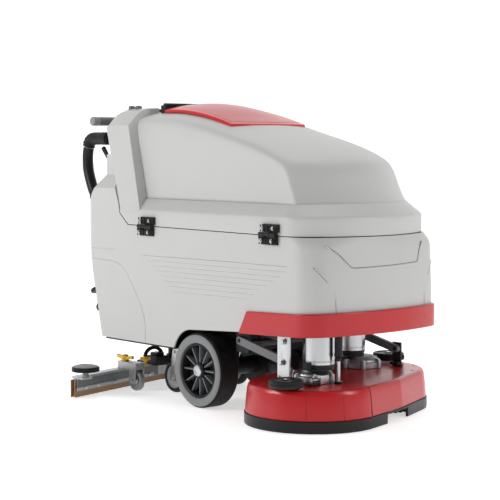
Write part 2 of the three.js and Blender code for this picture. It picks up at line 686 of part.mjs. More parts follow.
function innerParts() {
  const { x0, length, depth, height } = BATTERY;
  const z0 = RAIL.z1 + GAP;
  for (const [side, s] of SIDES) {
    const y0 = s > 0 ? 2 : -2 - depth;
    const block = box(x0, x0 + length, y0, y0 + depth, z0, z0 + height);
    const posts = [0.1, 0.4, 0.6, 0.9].map((t) => {
      const x = x0 + length * t;
      return rod([x, y0 + depth / 2, z0 + height - 2], [x, y0 + depth / 2, z0 + height + 14], 9, 8, 12);
    });
    place(`battery_${side}`, join(block, ...posts), BATTERY_CASE);
  }
  const tank = cut(
    box(225, 520, -250, 250, 455, 618),
    box(230, 515, -245, 245, 460, 613),
    rod([300, 0, 600], [300, 0, 640], 60),
  );
  place('solution_tank', tank, SHELL_GREY);
  const [vx, vy] = [-440, 150];
  const can = rod([vx, vy, PAN.z + 60], [vx, vy, PAN.z + 190], 72);
  const flange = rod([vx, vy, RAIL.z1 + GAP], [vx, vy, PAN.z + 62], 88);
  const outlet = rod([vx, vy, PAN.z + 180], [vx, vy, PAN.z + 240], 30);
  place('vacuum_motor', join(can, flange, outlet), BLACK_PLASTIC);
  const axle = rod([0, -300, WHEEL_RADIUS], [0, 300, WHEEL_RADIUS], AXLE_RADIUS);
  const housing = rod([0, -225, WHEEL_RADIUS], [0, 225, WHEEL_RADIUS], 32);
  const gearcase = rod([0, -50, WHEEL_RADIUS], [0, 50, WHEEL_RADIUS], 70);
  const motor = rod([20, 0, WHEEL_RADIUS + 5], [150, 0, WHEEL_RADIUS + 20], 45);
  place('transaxle', join(axle, housing, gearcase, motor), BLACK_STEEL);
}

// ---------------------------------------------------------------- wheels

function tyre() {
  const r = WHEEL_RADIUS;
  const w = WHEEL_WIDTH / 2;
  return turned([
    [RIM_RADIUS, -w + 6], [RIM_RADIUS + 16, -w], [r - 14, -w], [r - 4, -w + 4], [r, -w + 12],
    [r, w - 12], [r - 4, w - 4], [r - 14, w], [RIM_RADIUS + 16, w], [RIM_RADIUS, w - 6], [RIM_RADIUS, -w + 6],
  ], 44);
}

// The rim is drawn with its outer side up; ribs run from the hub to the rim's edge
function rim() {
  const r = RIM_RADIUS - GAP;
  const w = WHEEL_WIDTH / 2;
  const disc = turned([
    [0, -w + 8], [r, -w + 8], [r, w - 8], [r - 7, w - 8], [r - 10, w - 34], [HUB_RADIUS, w - 34],
    [HUB_RADIUS, w - 8], [21, w - 8], [20, w - 3], [0, w - 1],
  ], 32);
  const ribs = [];
  for (let i = 0; i < SPOKES; i += 1) {
    ribs.push(box(HUB_RADIUS - 4, r - 5, -2.2, 2.2, w - 40, w - 20).rotate([0, 0, (360 / SPOKES) * i]));
  }
  const bore = rod([0, 0, -w], [0, 0, w - 20], AXLE_RADIUS + GAP);
  return join(disc, ...ribs).subtract(bore);
}

function driveWheels() {
  for (const [side, s] of SIDES) {
    const y = s * (WHEEL_OUTER_Y - WHEEL_WIDTH / 2);
    const turn = [s > 0 ? -90 : 90, 0, 0];
    place(`tyre_${side}`, tyre().rotate(turn).translate([0, y, WHEEL_RADIUS]), RUBBER);
    place(`rim_${side}`, rim().rotate(turn).translate([0, y, WHEEL_RADIUS]), BLACK_PLASTIC);
  }
}

function rearCasters() {
  const { x, y, radius, width, trail, plateZ } = CASTER;
  for (const [side, s] of SIDES) {
    const wheelX = x - trail;
    const wheel = alongY(turned([
      [0, -width / 2], [22, -width / 2], [24, -width / 2 + 5], [radius - 6, -width / 2 + 5],
      [radius, -width / 2 + 11], [radius, width / 2 - 11], [radius - 6, width / 2 - 5],
      [24, width / 2 - 5], [22, width / 2], [0, width / 2],
    ]));
    const bore = rod([0, -width, 0], [0, width, 0], 6 + GAP);
    place(`caster_wheel_${side}`, cut(wheel, bore).translate([wheelX, s * y, radius]), RUBBER);
    const crown = turned([[0, plateZ - 34], [30, plateZ - 34], [34, plateZ - 20], [34, plateZ - 8], [22, plateZ],
      [0, plateZ]]).translate([x, s * y, 0]);
    const legs = [-1, 1].map((e) => {
      const y0 = s * y + e * (width / 2 + 5) - 2.5;
      return slabY(outline([
        [x - 26, plateZ - 22], [x + 26, plateZ - 22], [wheelX + 14, radius - 12], [wheelX - 14, radius - 12],
      ]), y0, y0 + 5);
    });
    const bridge = box(x - 26, x + 26, s * y - width / 2 - 7, s * y + width / 2 + 7, plateZ - 30, plateZ - 20);
    const pin = rod([wheelX, s * y - width / 2 - 9, radius], [wheelX, s * y + width / 2 + 9, radius], 6);
    const fork = join(crown, ...legs, bridge, pin);
    place(`caster_fork_${side}`, fork, STEEL);
  }
}

// ---------------------------------------------------------------- brush deck

// The deck from above: two lobes joined by slightly bulging edges
function deckRing(offset, z) {
  const [ax, ay] = LOBES.right;
  const [bx, by] = LOBES.left;
  const middle = (LOBE_RADIUS.right + LOBE_RADIUS.left) / 2 + DECK_BULGE;
  const circles = [
    [ax, ay, LOBE_RADIUS.right + offset],
    [bx, by, LOBE_RADIUS.left + offset],
    [(ax + bx) / 2, (ay + by) / 2, middle + offset],
  ];
  const points = [];
  for (const [cx, cy, r] of circles) {
    for (let i = 0; i < 32; i += 1) {
      const a = (Math.PI * 2 * i) / 32;
      points.push([cx + r * Math.cos(a), cy + r * Math.sin(a), z]);
    }
  }
  return points;
}

function deckSlab(offset, z0, z1) {
  return hull([...deckRing(offset, z0), ...deckRing(offset, z1)]);
}

function deckCover() {
  const outer = hull([
    ...deckRing(4, DECK_BOTTOM_Z),
    ...deckRing(-5, DECK_TOP_Z - 12),
    ...deckRing(-14, DECK_TOP_Z),
  ]);
  const inner = hull([
    ...deckRing(4 - DECK_WALL, DECK_BOTTOM_Z - 5),
    ...deckRing(-6 - DECK_WALL, DECK_TOP_Z - 16),
    ...deckRing(-13 - DECK_WALL, DECK_TOP_Z - DECK_WALL),
  ]);
  const shaftHoles = SIDES.map(([side]) => {
    const [x, y] = LOBES[side];
    return rod([x, y, DECK_TOP_Z - 20], [x, y, DECK_TOP_Z + 5], 30);
  });
  place('deck_cover', cut(outer, inner, ...shaftHoles), SIGNAL_RED);
}

function deckSkirts() {
  const [ax, ay] = LOBES.right;
  const [bx, by] = LOBES.left;
  const turn = THREE.MathUtils.radToDeg(Math.atan2(by - ay, bx - ax));
  const hoop = deckSlab(7, SKIRT_FLOOR_GAP, DECK_BOTTOM_Z - GAP)
    .subtract(deckSlab(7 - SKIRT_THICK, SKIRT_FLOOR_GAP - 5, DECK_BOTTOM_Z + 5));
  for (const [side, s] of SIDES) {
    const from = s > 0 ? SKIRT_SPLIT.left : -900;
    const to = s > 0 ? 900 : SKIRT_SPLIT.right;
    const keep = box(from, to, -600, 600, -20, 80)
      .rotate([0, 0, turn])
      .translate([(ax + bx) / 2, (ay + by) / 2, 0]);
    place(`skirt_${side}`, hoop.intersect(keep), RUBBER);
  }
}

function brushes() {
  for (const [side] of SIDES) {
    const [x, y] = LOBES[side];
    const brush = turned([
      [0, 46], [90, 46], [90, 1], [BRUSH_RADIUS, 1], [BRUSH_RADIUS - 5, 46], [BRUSH_RADIUS - 5, 60],
      [60, 60], [48, 84], [26, 92], [26, DECK_TOP_Z - 1], [0, DECK_TOP_Z - 1],
    ], 32);
    place(`brush_${side}`, brush.translate([x, y, 0]), RUBBER);
  }
}

function gearMotors() {
  const z0 = DECK_TOP_Z + GAP;
  const z1 = z0 + GEARBOX_HEIGHT;
  for (const [side] of SIDES) {
    const x = LOBES[side][0] + GEARBOX_OFFSET[side][0];
    const y = LOBES[side][1] + GEARBOX_OFFSET[side][1];
    const [dx, dy] = MOTOR_OFFSET[side];
    const flange = turned([[0, z0], [GEARBOX_RADIUS - 6, z0], [GEARBOX_RADIUS, z0 + 6],
      [GEARBOX_RADIUS, z1 - 14], [GEARBOX_RADIUS - 8, z1 - 8], [GEARBOX_RADIUS - 20, z1 - 8],
      [GEARBOX_RADIUS - 26, z1], [0, z1]], 32).translate([x, y, 0]);
    const lugs = [];
    for (let i = 0; i < 6; i += 1) {
      const a = (Math.PI / 3) * i + 0.4;
      const lx = x + Math.cos(a) * (GEARBOX_RADIUS - 4);
      const ly = y + Math.sin(a) * (GEARBOX_RADIUS - 4);
      lugs.push(rod([lx, ly, z0], [lx, ly, z1 - 12], 9, 8, 8));
    }
    place(`gearbox_${side}`, join(flange, ...lugs), CAST_ALLOY);
    const can = turned([
      [0, z1 + GAP], [MOTOR_RADIUS - 4, z1 + GAP], [MOTOR_RADIUS - 4, z1 + 16], [MOTOR_RADIUS, z1 + 18],
      [MOTOR_RADIUS, MOTOR_TOP_Z - 14], [MOTOR_RADIUS - 6, MOTOR_TOP_Z], [0, MOTOR_TOP_Z],
    ], 32);
    place(`brush_motor_${side}`, can.translate([x + dx, y + dy, 0]), STEEL);
  }
}

function deckRollers() {
  const { out, radius, height, z } = DECK_ROLLER;
  for (const [side, s] of SIDES) {
    const x = LOBES[side][0] + DECK_ROLLER_ALONG[side];
    const y = LOBES[side][1] + s * (LOBE_RADIUS[side] + out);
    const roller = turned([
      [0, z + 8], [radius - 8, z + 8], [radius, z + 16], [radius, z + height - 6], [radius - 8, z + height],
      [0, z + height],
    ]);
    place(`deck_roller_${side}`, roller.translate([x, y, 0]), BLACK_PLASTIC);
  }
}

function uprightPlates() {
  const [px, pz] = ARM_DECK_PIVOT;
  const z0 = DECK_TOP_Z + GAP;
  for (const [side, s] of SIDES) {
    const inside = ARM_Y + ARM_THICK / 2 + 1;
    const [x0, x1] = [px - PLATE.back, px + PLATE_FRONT[side]];
    const y0 = s > 0 ? inside : -inside - PLATE.thick;
    const plate = box(x0, x1, y0, y0 + PLATE.thick, z0, pz + PLATE_ABOVE_PIVOT[side]);
    const footY = s > 0 ? inside : -inside - PLATE_FOOT[side];
    const foot = box(x0, x1, footY, footY + PLATE_FOOT[side], z0, z0 + PLATE.foot);
    const places = s > 0 ? [[px, pz]] : [[px, pz], [px + ARM_LEAD, pz + ARM_RISE]];
    const pins = places.map(([x, z]) => rod(
      [x, s * (inside + PLATE.thick + 6), z],
      [x, s * (ARM_Y - ARM_THICK / 2 - 3), z],
      PIVOT_RADIUS,
    ));
    place(`upright_plate_${side}`, join(plate, foot, ...pins), s > 0 ? BLACK_STEEL : STEEL);
  }
}

function liftArm(s, dx, dz) {
  const [ax, az] = ARM_FRAME_PIVOT;
  const [bx, bz] = ARM_DECK_PIVOT;
  const angle = Math.atan2(bz - az, bx - ax);
  const length = Math.hypot(bx - ax, bz - az);
  const half = ARM_HEIGHT / 2;
  const y0 = s * ARM_Y - ARM_THICK / 2;
  const shape = new THREE.Shape();
  shape.absarc(length, 0, half, -Math.PI / 2, Math.PI / 2);
  shape.absarc(0, 0, half, Math.PI / 2, Math.PI * 1.5);
  const bar = slabY(shape, y0, y0 + ARM_THICK, 8);
  const holes = [0, length].map((x) => rod([x, y0 - 5, 0], [x, y0 + ARM_THICK + 5, 0], PIVOT_RADIUS + GAP));
  return cut(bar, ...holes)
    .rotate([0, -THREE.MathUtils.radToDeg(angle), 0])
    .translate([ax + dx, 0, az + dz]);
}

// The two lower arms are one yoke, joined across the machine by a tube; the upper link is alone
function liftArms() {
  const x = mix(ARM_FRAME_PIVOT[0], ARM_DECK_PIVOT[0], YOKE_TUBE_PLACE);
  const z = mix(ARM_FRAME_PIVOT[1], ARM_DECK_PIVOT[1], YOKE_TUBE_PLACE);
  const tube = rod([x, -ARM_Y, z], [x, ARM_Y, z], 10);
  place('lower_yoke', join(liftArm(-1, 0, 0), liftArm(1, 0, 0), tube), STEEL);
  place('upper_link', liftArm(-1, ARM_LEAD, ARM_RISE), STEEL);
}

function deckStrut() {
  const { x, y, radius } = STRUT;
  const z0 = DECK_TOP_Z + GAP;
  const strut = turned([
    [0, z0], [14, z0], [14, z0 + 9], [5, z0 + 9], [5, z0 + 84], [radius, z0 + 90], [radius, z0 + 255], [0, z0 + 255],
  ], 24);
  place('deck_strut', strut.translate([x, y, 0]), BLACK_STEEL);
}

// ---------------------------------------------------------------- squeegee

// A section in x and z swept along both straight halves of the V; x = 0 is the front face
function swept(corners, half) {
  const sweep = new THREE.Matrix4().set(
    1, SQUEEGEE_SWEEP, 0, SQUEEGEE_APEX_X,
    0, 1, 0, 0,
    0, 0, 1, 0,
    0, 0, 0, 1,
  );
  const geometry = new THREE.ExtrudeGeometry(outline(corners), { depth: half, bevelEnabled: false });
  geometry.rotateX(Math.PI / 2).translate(0, half, 0).applyMatrix4(sweep);
  const left = solid(geometry);
  return left.add(left.mirror([0, 1, 0]));
}

function strip(front, back, z0, z1, half) {
  return swept([[-back, z0], [-front, z0], [-front, z1], [-back, z1]], half);
}

function vX(y) {
  return SQUEEGEE_APEX_X + SQUEEGEE_SWEEP * Math.abs(y);
}

function squeegee() {
  const top = SQUEEGEE_TOP_Z;
  const half = SQUEEGEE_HALF;
  const b = BLADE_THICK;
  const face = strip(0, 8, SQUEEGEE_FACE_Z, top - 2, half - 14);
  const plate = strip(-3, 38, top - 8, top, half - 14);
  const core = strip(8 + b + 2 * GAP, 28, 34, top - 4, half - 14);
  const stems = SIDES.map(([, s]) => rod(
    [TIP_ROLLER.x, s * TIP_ROLLER.y, top - 3],
    [TIP_ROLLER.x, s * TIP_ROLLER.y, TIP_ROLLER.z + 6],
    15, 9,
  ));
  const ears = SIDES.map(([, s]) => box(
    TIP_ROLLER.x - 34, TIP_ROLLER.x + 10, s * TIP_ROLLER.y - 22, s * TIP_ROLLER.y + 22, top - 8, top,
  ));
  const brackets = SIDES.map(([, s]) => supportBracket(s));
  const nozzle = join(
    box(SQUEEGEE_APEX_X - 4, SUCTION.x + SUCTION.neck, -32, 32, BLADE_TOP_Z + 1, top),
    rod([SUCTION.x, 0, top - 6], [SUCTION.x, 0, top + 26], SUCTION.neck),
  );
  const nozzleBore = rod([SUCTION.x, 0, top - 20], [SUCTION.x, 0, top + 40], HOSE_RADIUS + ROUND_GAP);
  place('squeegee_body', join(face, plate, core, ...stems, ...ears, ...brackets, nozzle).subtract(nozzleBore),
    CAST_ALLOY);
  place('squeegee_blade_front', strip(8 + GAP, 8 + GAP + b, BLADE_FLOOR_GAP, BLADE_TOP_Z, half - 4), BLADE_RUBBER);
  place('squeegee_blade_rear', strip(28 + GAP, 28 + GAP + b, BLADE_FLOOR_GAP, BLADE_TOP_Z, half), BLADE_RUBBER);
}

// A cast bracket that carries a support wheel ahead of the squeegee
function supportBracket(s) {
  const { x, y, radius, width, top } = SUPPORT;
  const gap = width / 2 + 3;
  const web = box(vX(y) - 10, vX(y) + 26, s * y - 22, s * y + 22, SQUEEGEE_TOP_Z - 4, top);
  const arm = box(vX(y) + 10, x + 22, s * y - gap - 6, s * y + gap + 6, SQUEEGEE_TOP_Z + 4, top);
  const cheeks = [-1, 1].map((e) => {
    const y0 = s * y + e * (gap + 3) - 3;
    return slabY(outline([[x - 26, top - 4], [x + 22, top - 4], [x + 13, radius - 12], [x - 13, radius - 12]]),
      y0, y0 + 6);
  });
  const pin = rod([x, s * y - gap - 7, radius], [x, s * y + gap + 7, radius], 5);
  const room = box(x - 60, x + 60, s * y - gap, s * y + gap, radius - 40, radius + radius + 4);
  return join(web.subtract(room), arm, ...cheeks.map((c) => c.subtract(room)), pin);
}

function squeegeeWheels() {
  for (const [side, s] of SIDES) {
    const { x, y, radius, width } = SUPPORT;
    const half = width / 2;
    const wheel = alongY(turned([
      [0, -half], [14, -half], [16, -half + 4], [radius - 9, -half + 4], [radius - 4, -half + 2],
      [radius, -half + 8], [radius, half - 8], [radius - 4, half - 2], [radius - 9, half - 4],
      [16, half - 4], [14, half], [0, half],
    ]));
    const bore = rod([0, -width, 0], [0, width, 0], 5 + GAP);
    place(`support_wheel_${side}`, cut(wheel, bore).translate([x, s * y, radius]), GREY_RUBBER);
    const t = TIP_ROLLER;
    const roller = turned([
      [0, 8], [t.radius - 6, 8], [t.radius, 12], [t.radius, t.height], [t.radius - 6, t.height + 4],
      [t.radius - 20, t.height + 9], [0, t.height + 10],
    ]);
    place(`tip_roller_${side}`, roller.translate([t.x, s * t.y, t.z - 2 + GAP]), GREY_RUBBER);
    place(`wing_knob_${side}`, wingKnob().translate([vX(y) + 8, s * y, SUPPORT.top + GAP]), YELLOW);
  }
}

function wingKnob() {
  const hub = turned([[0, 0], [15, 0], [13, 20], [8, 24], [0, 24]], 24);
  const wings = [0, 180].map((a) => hull([
    [8, -7, 4], [8, 7, 4], [8, -7, 17], [8, 7, 17], [50, -5, 10], [50, 5, 10], [50, -5, 22], [50, 5, 22],
  ]).rotate([0, 0, a]));
  return join(hub, ...wings);
}

function squeegeeCarrier() {
  const [px, pz] = CARRIER_PIVOT;
  const hub = rod([px, -34, pz], [px, 34, pz], 17);
  const z0 = SQUEEGEE_TOP_Z + GAP;
  const arm = slabY(outline([
    [px - 4, pz + 16], [px - 4, pz - 14], [-470, z0], [-640, z0], [-640, z0 + 12], [-480, z0 + 24],
  ]), -34, 34);
  const head = box(-640, -555, -110, 110, z0, z0 + 10);
  const nozzleRoom = rod([SUCTION.x, 0, z0 - 5], [SUCTION.x, 0, z0 + 60], SUCTION.neck + 1);
  const bore = rod([px, -60, pz], [px, 60, pz], 8 + GAP);
  place('squeegee_carrier', cut(join(hub, arm, head), nozzleRoom, bore), BLACK_STEEL);
}

// ---------------------------------------------------------------- hoses, handlebar, lever and tap

// The cuff stands square on the shoulder; the hose leaves it and bends up to the tank's port
function hoses() {
  const y = HOSE_Y;
  const slope = new THREE.Vector2(COLUMN_REAR_X - REAR_TOP[0] - 8, SHOULDER_Z - REAR_TOP[1] - 15).normalize();
  const at = (d) => [CUFF_FOOT[0] - slope.y * d, y, CUFF_FOOT[1] + slope.x * d];
  const bore = rod(at(-20), at(60), HOSE_RADIUS + ROUND_GAP);
  place('hose_cuff', rod(at(GAP), at(30), HOSE_RADIUS + 8).subtract(bore), BLACK_PLASTIC);
  const route = [at(1), at(24), at(48), [-733, y, 803], [-748, y, 846], [-751, y, 896], [-745, y, 930]];
  place('recovery_hose', pipe(route, HOSE_RADIUS), RUBBER);
  const bend = [[-743.6, y, 936.6], [-737, y, 952], [-719, y, 963], [-690, y, 965.5], [PORT.x - GAP, y, PORT.z]];
  place('hose_elbow', pipe(bend, HOSE_RADIUS + 3, 16, 10), BLACK_PLASTIC);
  const rise = [[SUCTION.x, 0, 82], [SUCTION.x, 0, 120], [SUCTION.x, 0, 190], [SUCTION.x, 0, 226]];
  place('squeegee_hose', pipe(rise, HOSE_RADIUS, 12, 6), RUBBER);
}

function handlebar() {
  const { x, z, radius, half, bracketY } = BAR;
  const bar = rod([x, -half, z], [x, half, z], radius);
  const caps = SIDES.map(([, s]) => rod([x, s * (half - 1), z], [x, s * (half + 6), z], radius, radius - 3));
  const top = COLUMN_TOP_Z + GAP;
  const brackets = SIDES.map(([, s]) => slabY(outline([
    [COLUMN_REAR_X + 2, top], [tankRearX(top) - 8, top], [tankRearX(top) - 12, top + 12],
    [x + 16, z - 14], [x + 4, z + 10], [x - 12, z - 4],
  ]), s * bracketY - 10, s * bracketY + 10));
  place('handlebar', join(bar, ...caps, ...brackets), BAR_GREY);
}

function squeegeeLever() {
  const { pivot, y, length, width } = LEVER;
  const [px, pz] = pivot;
  const angle = THREE.MathUtils.degToRad(132);
  const tip = [px + Math.cos(angle) * length, pz + Math.sin(angle) * length];
  const hub = rod([px, y - width / 2, pz], [px, y + width / 2, pz], 6);
  const blade = hull([
    ...[y - width / 2, y + width / 2].flatMap((yy) => [
      [px + 2, yy, pz + 5], [px - 4, yy, pz - 4], [tip[0] - 6, yy, tip[1] - 4], [tip[0] + 6, yy, tip[1] + 5],
    ]),
  ]);
  place('squeegee_lever', join(hub, blade), BLACK_PLASTIC);
}

function waterTap() {
  const { y, z, reach, knobRadius } = TAP;
  const lean = (REAR_TOP[0] - REAR_BOTTOM_X) / (REAR_TOP[1] - SHELL_BOTTOM_Z);
  const wall = REAR_BOTTOM_X + lean * (z - SHELL_BOTTOM_Z);
  const block = bodyBlock(-GAP).intersect(slabY(outline([
    [REAR_BOTTOM_X - GAP, SHELL_BOTTOM_Z - 50], [REAR_BOTTOM_X - GAP, SHELL_BOTTOM_Z],
    [REAR_TOP[0] - GAP, REAR_TOP[1]], [-400, REAR_TOP[1]], [-400, SHELL_BOTTOM_Z - 50],
  ]), -400, 400));
  const body = rod([wall + 12, y, z], [wall - reach, y, z], 16, 18);
  const from = new THREE.Vector3(wall - reach + 14, y, z + 8);
  const along = new THREE.Vector3(-Math.sin(0.5), 0, Math.cos(0.5));
  const at = (d) => from.clone().addScaledVector(along, d).toArray();
  place('tap_body', cut(join(body, rod(at(0), at(16), 12)), block), BLACK_PLASTIC);
  const stem = rod(at(16 + GAP), at(62), 6);
  const knob = rod(at(56), at(72), knobRadius, knobRadius - 3);
  place('tap_knob', join(stem, knob), BLACK_PLASTIC);
}

// ---------------------------------------------------------------- the machine

baseShell();
frontBand();
recoveryTank();
lid();
lidHinge();
dash();
tankHinges();
chassisFrame();
innerParts();
driveWheels();
rearCasters();
deckCover();
deckSkirts();
brushes();
gearMotors();
deckRollers();
uprightPlates();
liftArms();
deckStrut();
squeegee();
squeegeeWheels();
squeegeeCarrier();
hoses();
handlebar();
squeegeeLever();
waterTap();

export default scrubber;
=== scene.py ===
# %% [markdown]
# # A walk-behind floor scrubber
# The machine is a set of moulded shells over a steel frame, with a brush deck ahead and a squeegee
# behind. The working model is loaded as a fixed frame, and each visible piece is made again over it
# with its real edges, seams and finish. Everything is in metres, with the floor at z = 0.

import json
import math

import bmesh
import bpy
from mathutils import Matrix, Vector

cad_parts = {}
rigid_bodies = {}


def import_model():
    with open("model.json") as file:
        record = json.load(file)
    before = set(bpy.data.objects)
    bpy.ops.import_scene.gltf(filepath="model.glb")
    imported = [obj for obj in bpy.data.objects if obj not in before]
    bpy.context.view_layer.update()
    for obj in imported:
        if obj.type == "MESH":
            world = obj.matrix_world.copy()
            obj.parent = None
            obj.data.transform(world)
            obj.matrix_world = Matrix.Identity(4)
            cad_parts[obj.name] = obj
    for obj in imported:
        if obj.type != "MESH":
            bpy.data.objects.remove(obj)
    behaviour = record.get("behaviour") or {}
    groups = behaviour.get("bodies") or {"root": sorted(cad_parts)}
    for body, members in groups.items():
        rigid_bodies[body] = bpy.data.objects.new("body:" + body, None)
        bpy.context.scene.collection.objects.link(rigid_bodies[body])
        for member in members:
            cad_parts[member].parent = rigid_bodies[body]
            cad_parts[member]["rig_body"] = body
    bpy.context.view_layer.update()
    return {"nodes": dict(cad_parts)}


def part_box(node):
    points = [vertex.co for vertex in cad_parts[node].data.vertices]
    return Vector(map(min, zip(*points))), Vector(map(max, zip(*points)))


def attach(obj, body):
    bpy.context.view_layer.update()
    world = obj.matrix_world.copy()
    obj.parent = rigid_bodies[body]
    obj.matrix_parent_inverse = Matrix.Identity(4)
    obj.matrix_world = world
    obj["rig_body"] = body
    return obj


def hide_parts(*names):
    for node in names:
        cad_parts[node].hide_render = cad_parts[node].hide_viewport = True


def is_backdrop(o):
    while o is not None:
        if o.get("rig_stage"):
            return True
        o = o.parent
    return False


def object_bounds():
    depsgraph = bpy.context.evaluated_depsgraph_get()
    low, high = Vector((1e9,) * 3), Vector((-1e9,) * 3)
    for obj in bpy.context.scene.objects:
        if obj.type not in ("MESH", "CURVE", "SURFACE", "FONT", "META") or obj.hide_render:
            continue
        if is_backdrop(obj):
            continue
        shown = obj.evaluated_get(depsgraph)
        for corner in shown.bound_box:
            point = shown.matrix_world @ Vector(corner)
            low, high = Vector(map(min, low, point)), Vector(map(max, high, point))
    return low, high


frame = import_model()
MM = 0.001
SIDES = (("right", -1), ("left", 1))


def middle(node):
    """The middle of a working node's box."""
    low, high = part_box(node)
    return (low + high) / 2


AXLE = middle("tyre_right").x


def at(x, y, z):
    """A point in millimetres, with x counted from the drive axle."""
    return Vector((AXLE + x * MM, y * MM, z * MM))


# %% [markdown]
# ## The camera
# A long lens from the machine's right front corner, a little above the handlebar, keeps its upright
# lines nearly parallel. The camera looks about four degrees down.

# %% Place the camera
camera_data = bpy.data.cameras.new("camera")
camera_data.lens = 110.83
camera_data.sensor_width = 36
camera = bpy.data.objects.new("camera", camera_data)
bpy.context.scene.collection.objects.link(camera)
camera.location = (4.256 + AXLE, -3.747, 0.939)
camera.rotation_euler = (math.radians(90 - 3.89), 0, math.radians(49.16))
bpy.context.scene.camera = camera
print("camera", tuple(round(v, 3) for v in camera.location))

# %% [markdown]
# ## Finishes
# Moulded plastic, powder coat and rubber all have a fine grain, and their colour and gloss drift a
# little over the surface. One node group makes both from object-space noise, so the pattern stays
# put on the piece. Each finish then feeds its own Principled shader.

# %% Build the surface group and the finishes
def add_node(tree, kind, **values):
    """A shader node with its settings."""
    node = tree.nodes.new(kind)
    for key, value in values.items():
        setattr(node, key, value)
    return node


GROUP_SOCKETS = {
    "INPUT": {"Vector": "Vector", "Colour": "Color", "Mottle": "Float", "Roughness": "Float",
              "Spread": "Float", "Grain size": "Float", "Dust": "Float"},
    "OUTPUT": {"Colour": "Color", "Roughness": "Float", "Height": "Float"},
}
DUST_COLOUR = (0.36, 0.34, 0.31, 1)


def surface_group():
    """A soft drift of colour and gloss, a fine grain and settled dust."""
    group = bpy.data.node_groups.new("surface_detail", "ShaderNodeTree")
    for way, sockets in GROUP_SOCKETS.items():
        for name, kind in sockets.items():
            group.interface.new_socket(name, in_out=way, socket_type=f"NodeSocket{kind}")
    link = group.links.new
    given = add_node(group, "NodeGroupInput")
    made = add_node(group, "NodeGroupOutput")
    broad = add_node(group, "ShaderNodeTexNoise")
    broad.inputs["Scale"].default_value = 7
    broad.inputs["Detail"].default_value = 4
    fine = add_node(group, "ShaderNodeTexNoise")
    fine.inputs["Detail"].default_value = 3
    link(given.outputs["Vector"], broad.inputs["Vector"])
    link(given.outputs["Vector"], fine.inputs["Vector"])
    link(given.outputs["Grain size"], fine.inputs["Scale"])
    shift = add_node(group, "ShaderNodeMath", operation="SUBTRACT")
    shift.inputs[1].default_value = 0.5
    link(broad.outputs["Fac"], shift.inputs[0])
    tone = add_node(group, "ShaderNodeMath", operation="MULTIPLY_ADD")
    tone.inputs[2].default_value = 1
    link(shift.outputs[0], tone.inputs[0])
    link(given.outputs["Mottle"], tone.inputs[1])
    tint = add_node(group, "ShaderNodeHueSaturation")
    link(tone.outputs[0], tint.inputs["Value"])
    link(given.outputs["Colour"], tint.inputs["Color"])
    patches = add_node(group, "ShaderNodeTexNoise")
    patches.inputs["Scale"].default_value = 26
    patches.inputs["Detail"].default_value = 6
    link(given.outputs["Vector"], patches.inputs["Vector"])
    settle = add_node(group, "ShaderNodeMapRange")
    settle.inputs["From Min"].default_value = 0.52
    settle.inputs["From Max"].default_value = 0.8
    link(patches.outputs["Fac"], settle.inputs["Value"])
    amount = add_node(group, "ShaderNodeMath", operation="MULTIPLY")
    link(settle.outputs["Result"], amount.inputs[0])
    link(given.outputs["Dust"], amount.inputs[1])
    dusty = add_node(group, "ShaderNodeMix", data_type="RGBA")
    dusty.inputs["B"].default_value = DUST_COLOUR
    link(amount.outputs[0], dusty.inputs["Factor"])
    link(tint.outputs["Color"], dusty.inputs["A"])
    link(dusty.outputs["Result"], made.inputs["Colour"])
    gloss = add_node(group, "ShaderNodeMath", operation="MULTIPLY_ADD")
    link(shift.outputs[0], gloss.inputs[0])
    link(given.outputs["Spread"], gloss.inputs[1])
    link(given.outputs["Roughness"], gloss.inputs[2])
    link(gloss.outputs[0], made.inputs["Roughness"])
    link(fine.outputs["Fac"], made.inputs["Height"])
    return group


DETAIL = surface_group()


def finish(name, colour, roughness, metallic=0.0, grain=900, bump=0.05, mottle=0.08, spread=0.12,
           dust=0.0, coat=0.0, stretch=(1, 1, 1)):
    """A material whose colour, gloss and grain come from the surface group."""
    material = bpy.data.materials.new(name)
    material.use_nodes = True
    tree = material.node_tree
    shader = tree.nodes["Principled BSDF"]
    place = add_node(tree, "ShaderNodeTexCoord")
    mapping = add_node(tree, "ShaderNodeMapping")
    mapping.inputs["Scale"].default_value = stretch
    detail = add_node(tree, "ShaderNodeGroup", node_tree=DETAIL)
    detail.inputs["Colour"].default_value = (*colour, 1)
    for key, value in (("Mottle", mottle), ("Roughness", roughness), ("Spread", spread),
                       ("Grain size", grain), ("Dust", dust)):
        detail.inputs[key].default_value = value
    relief = add_node(tree, "ShaderNodeBump")
    relief.inputs["Strength"].default_value = bump
    relief.inputs["Distance"].default_value = 0.001
    link = tree.links.new
    link(place.outputs["Object"], mapping.inputs["Vector"])
    link(mapping.outputs["Vector"], detail.inputs["Vector"])
    link(detail.outputs["Colour"], shader.inputs["Base Color"])
    link(detail.outputs["Roughness"], shader.inputs["Roughness"])
    link(detail.outputs["Height"], relief.inputs["Height"])
    link(relief.outputs["Normal"], shader.inputs["Normal"])
    shader.inputs["Metallic"].default_value = metallic
    shader.inputs["Coat Weight"].default_value = coat
    shader.inputs["Coat Roughness"].default_value = 0.12
    return material


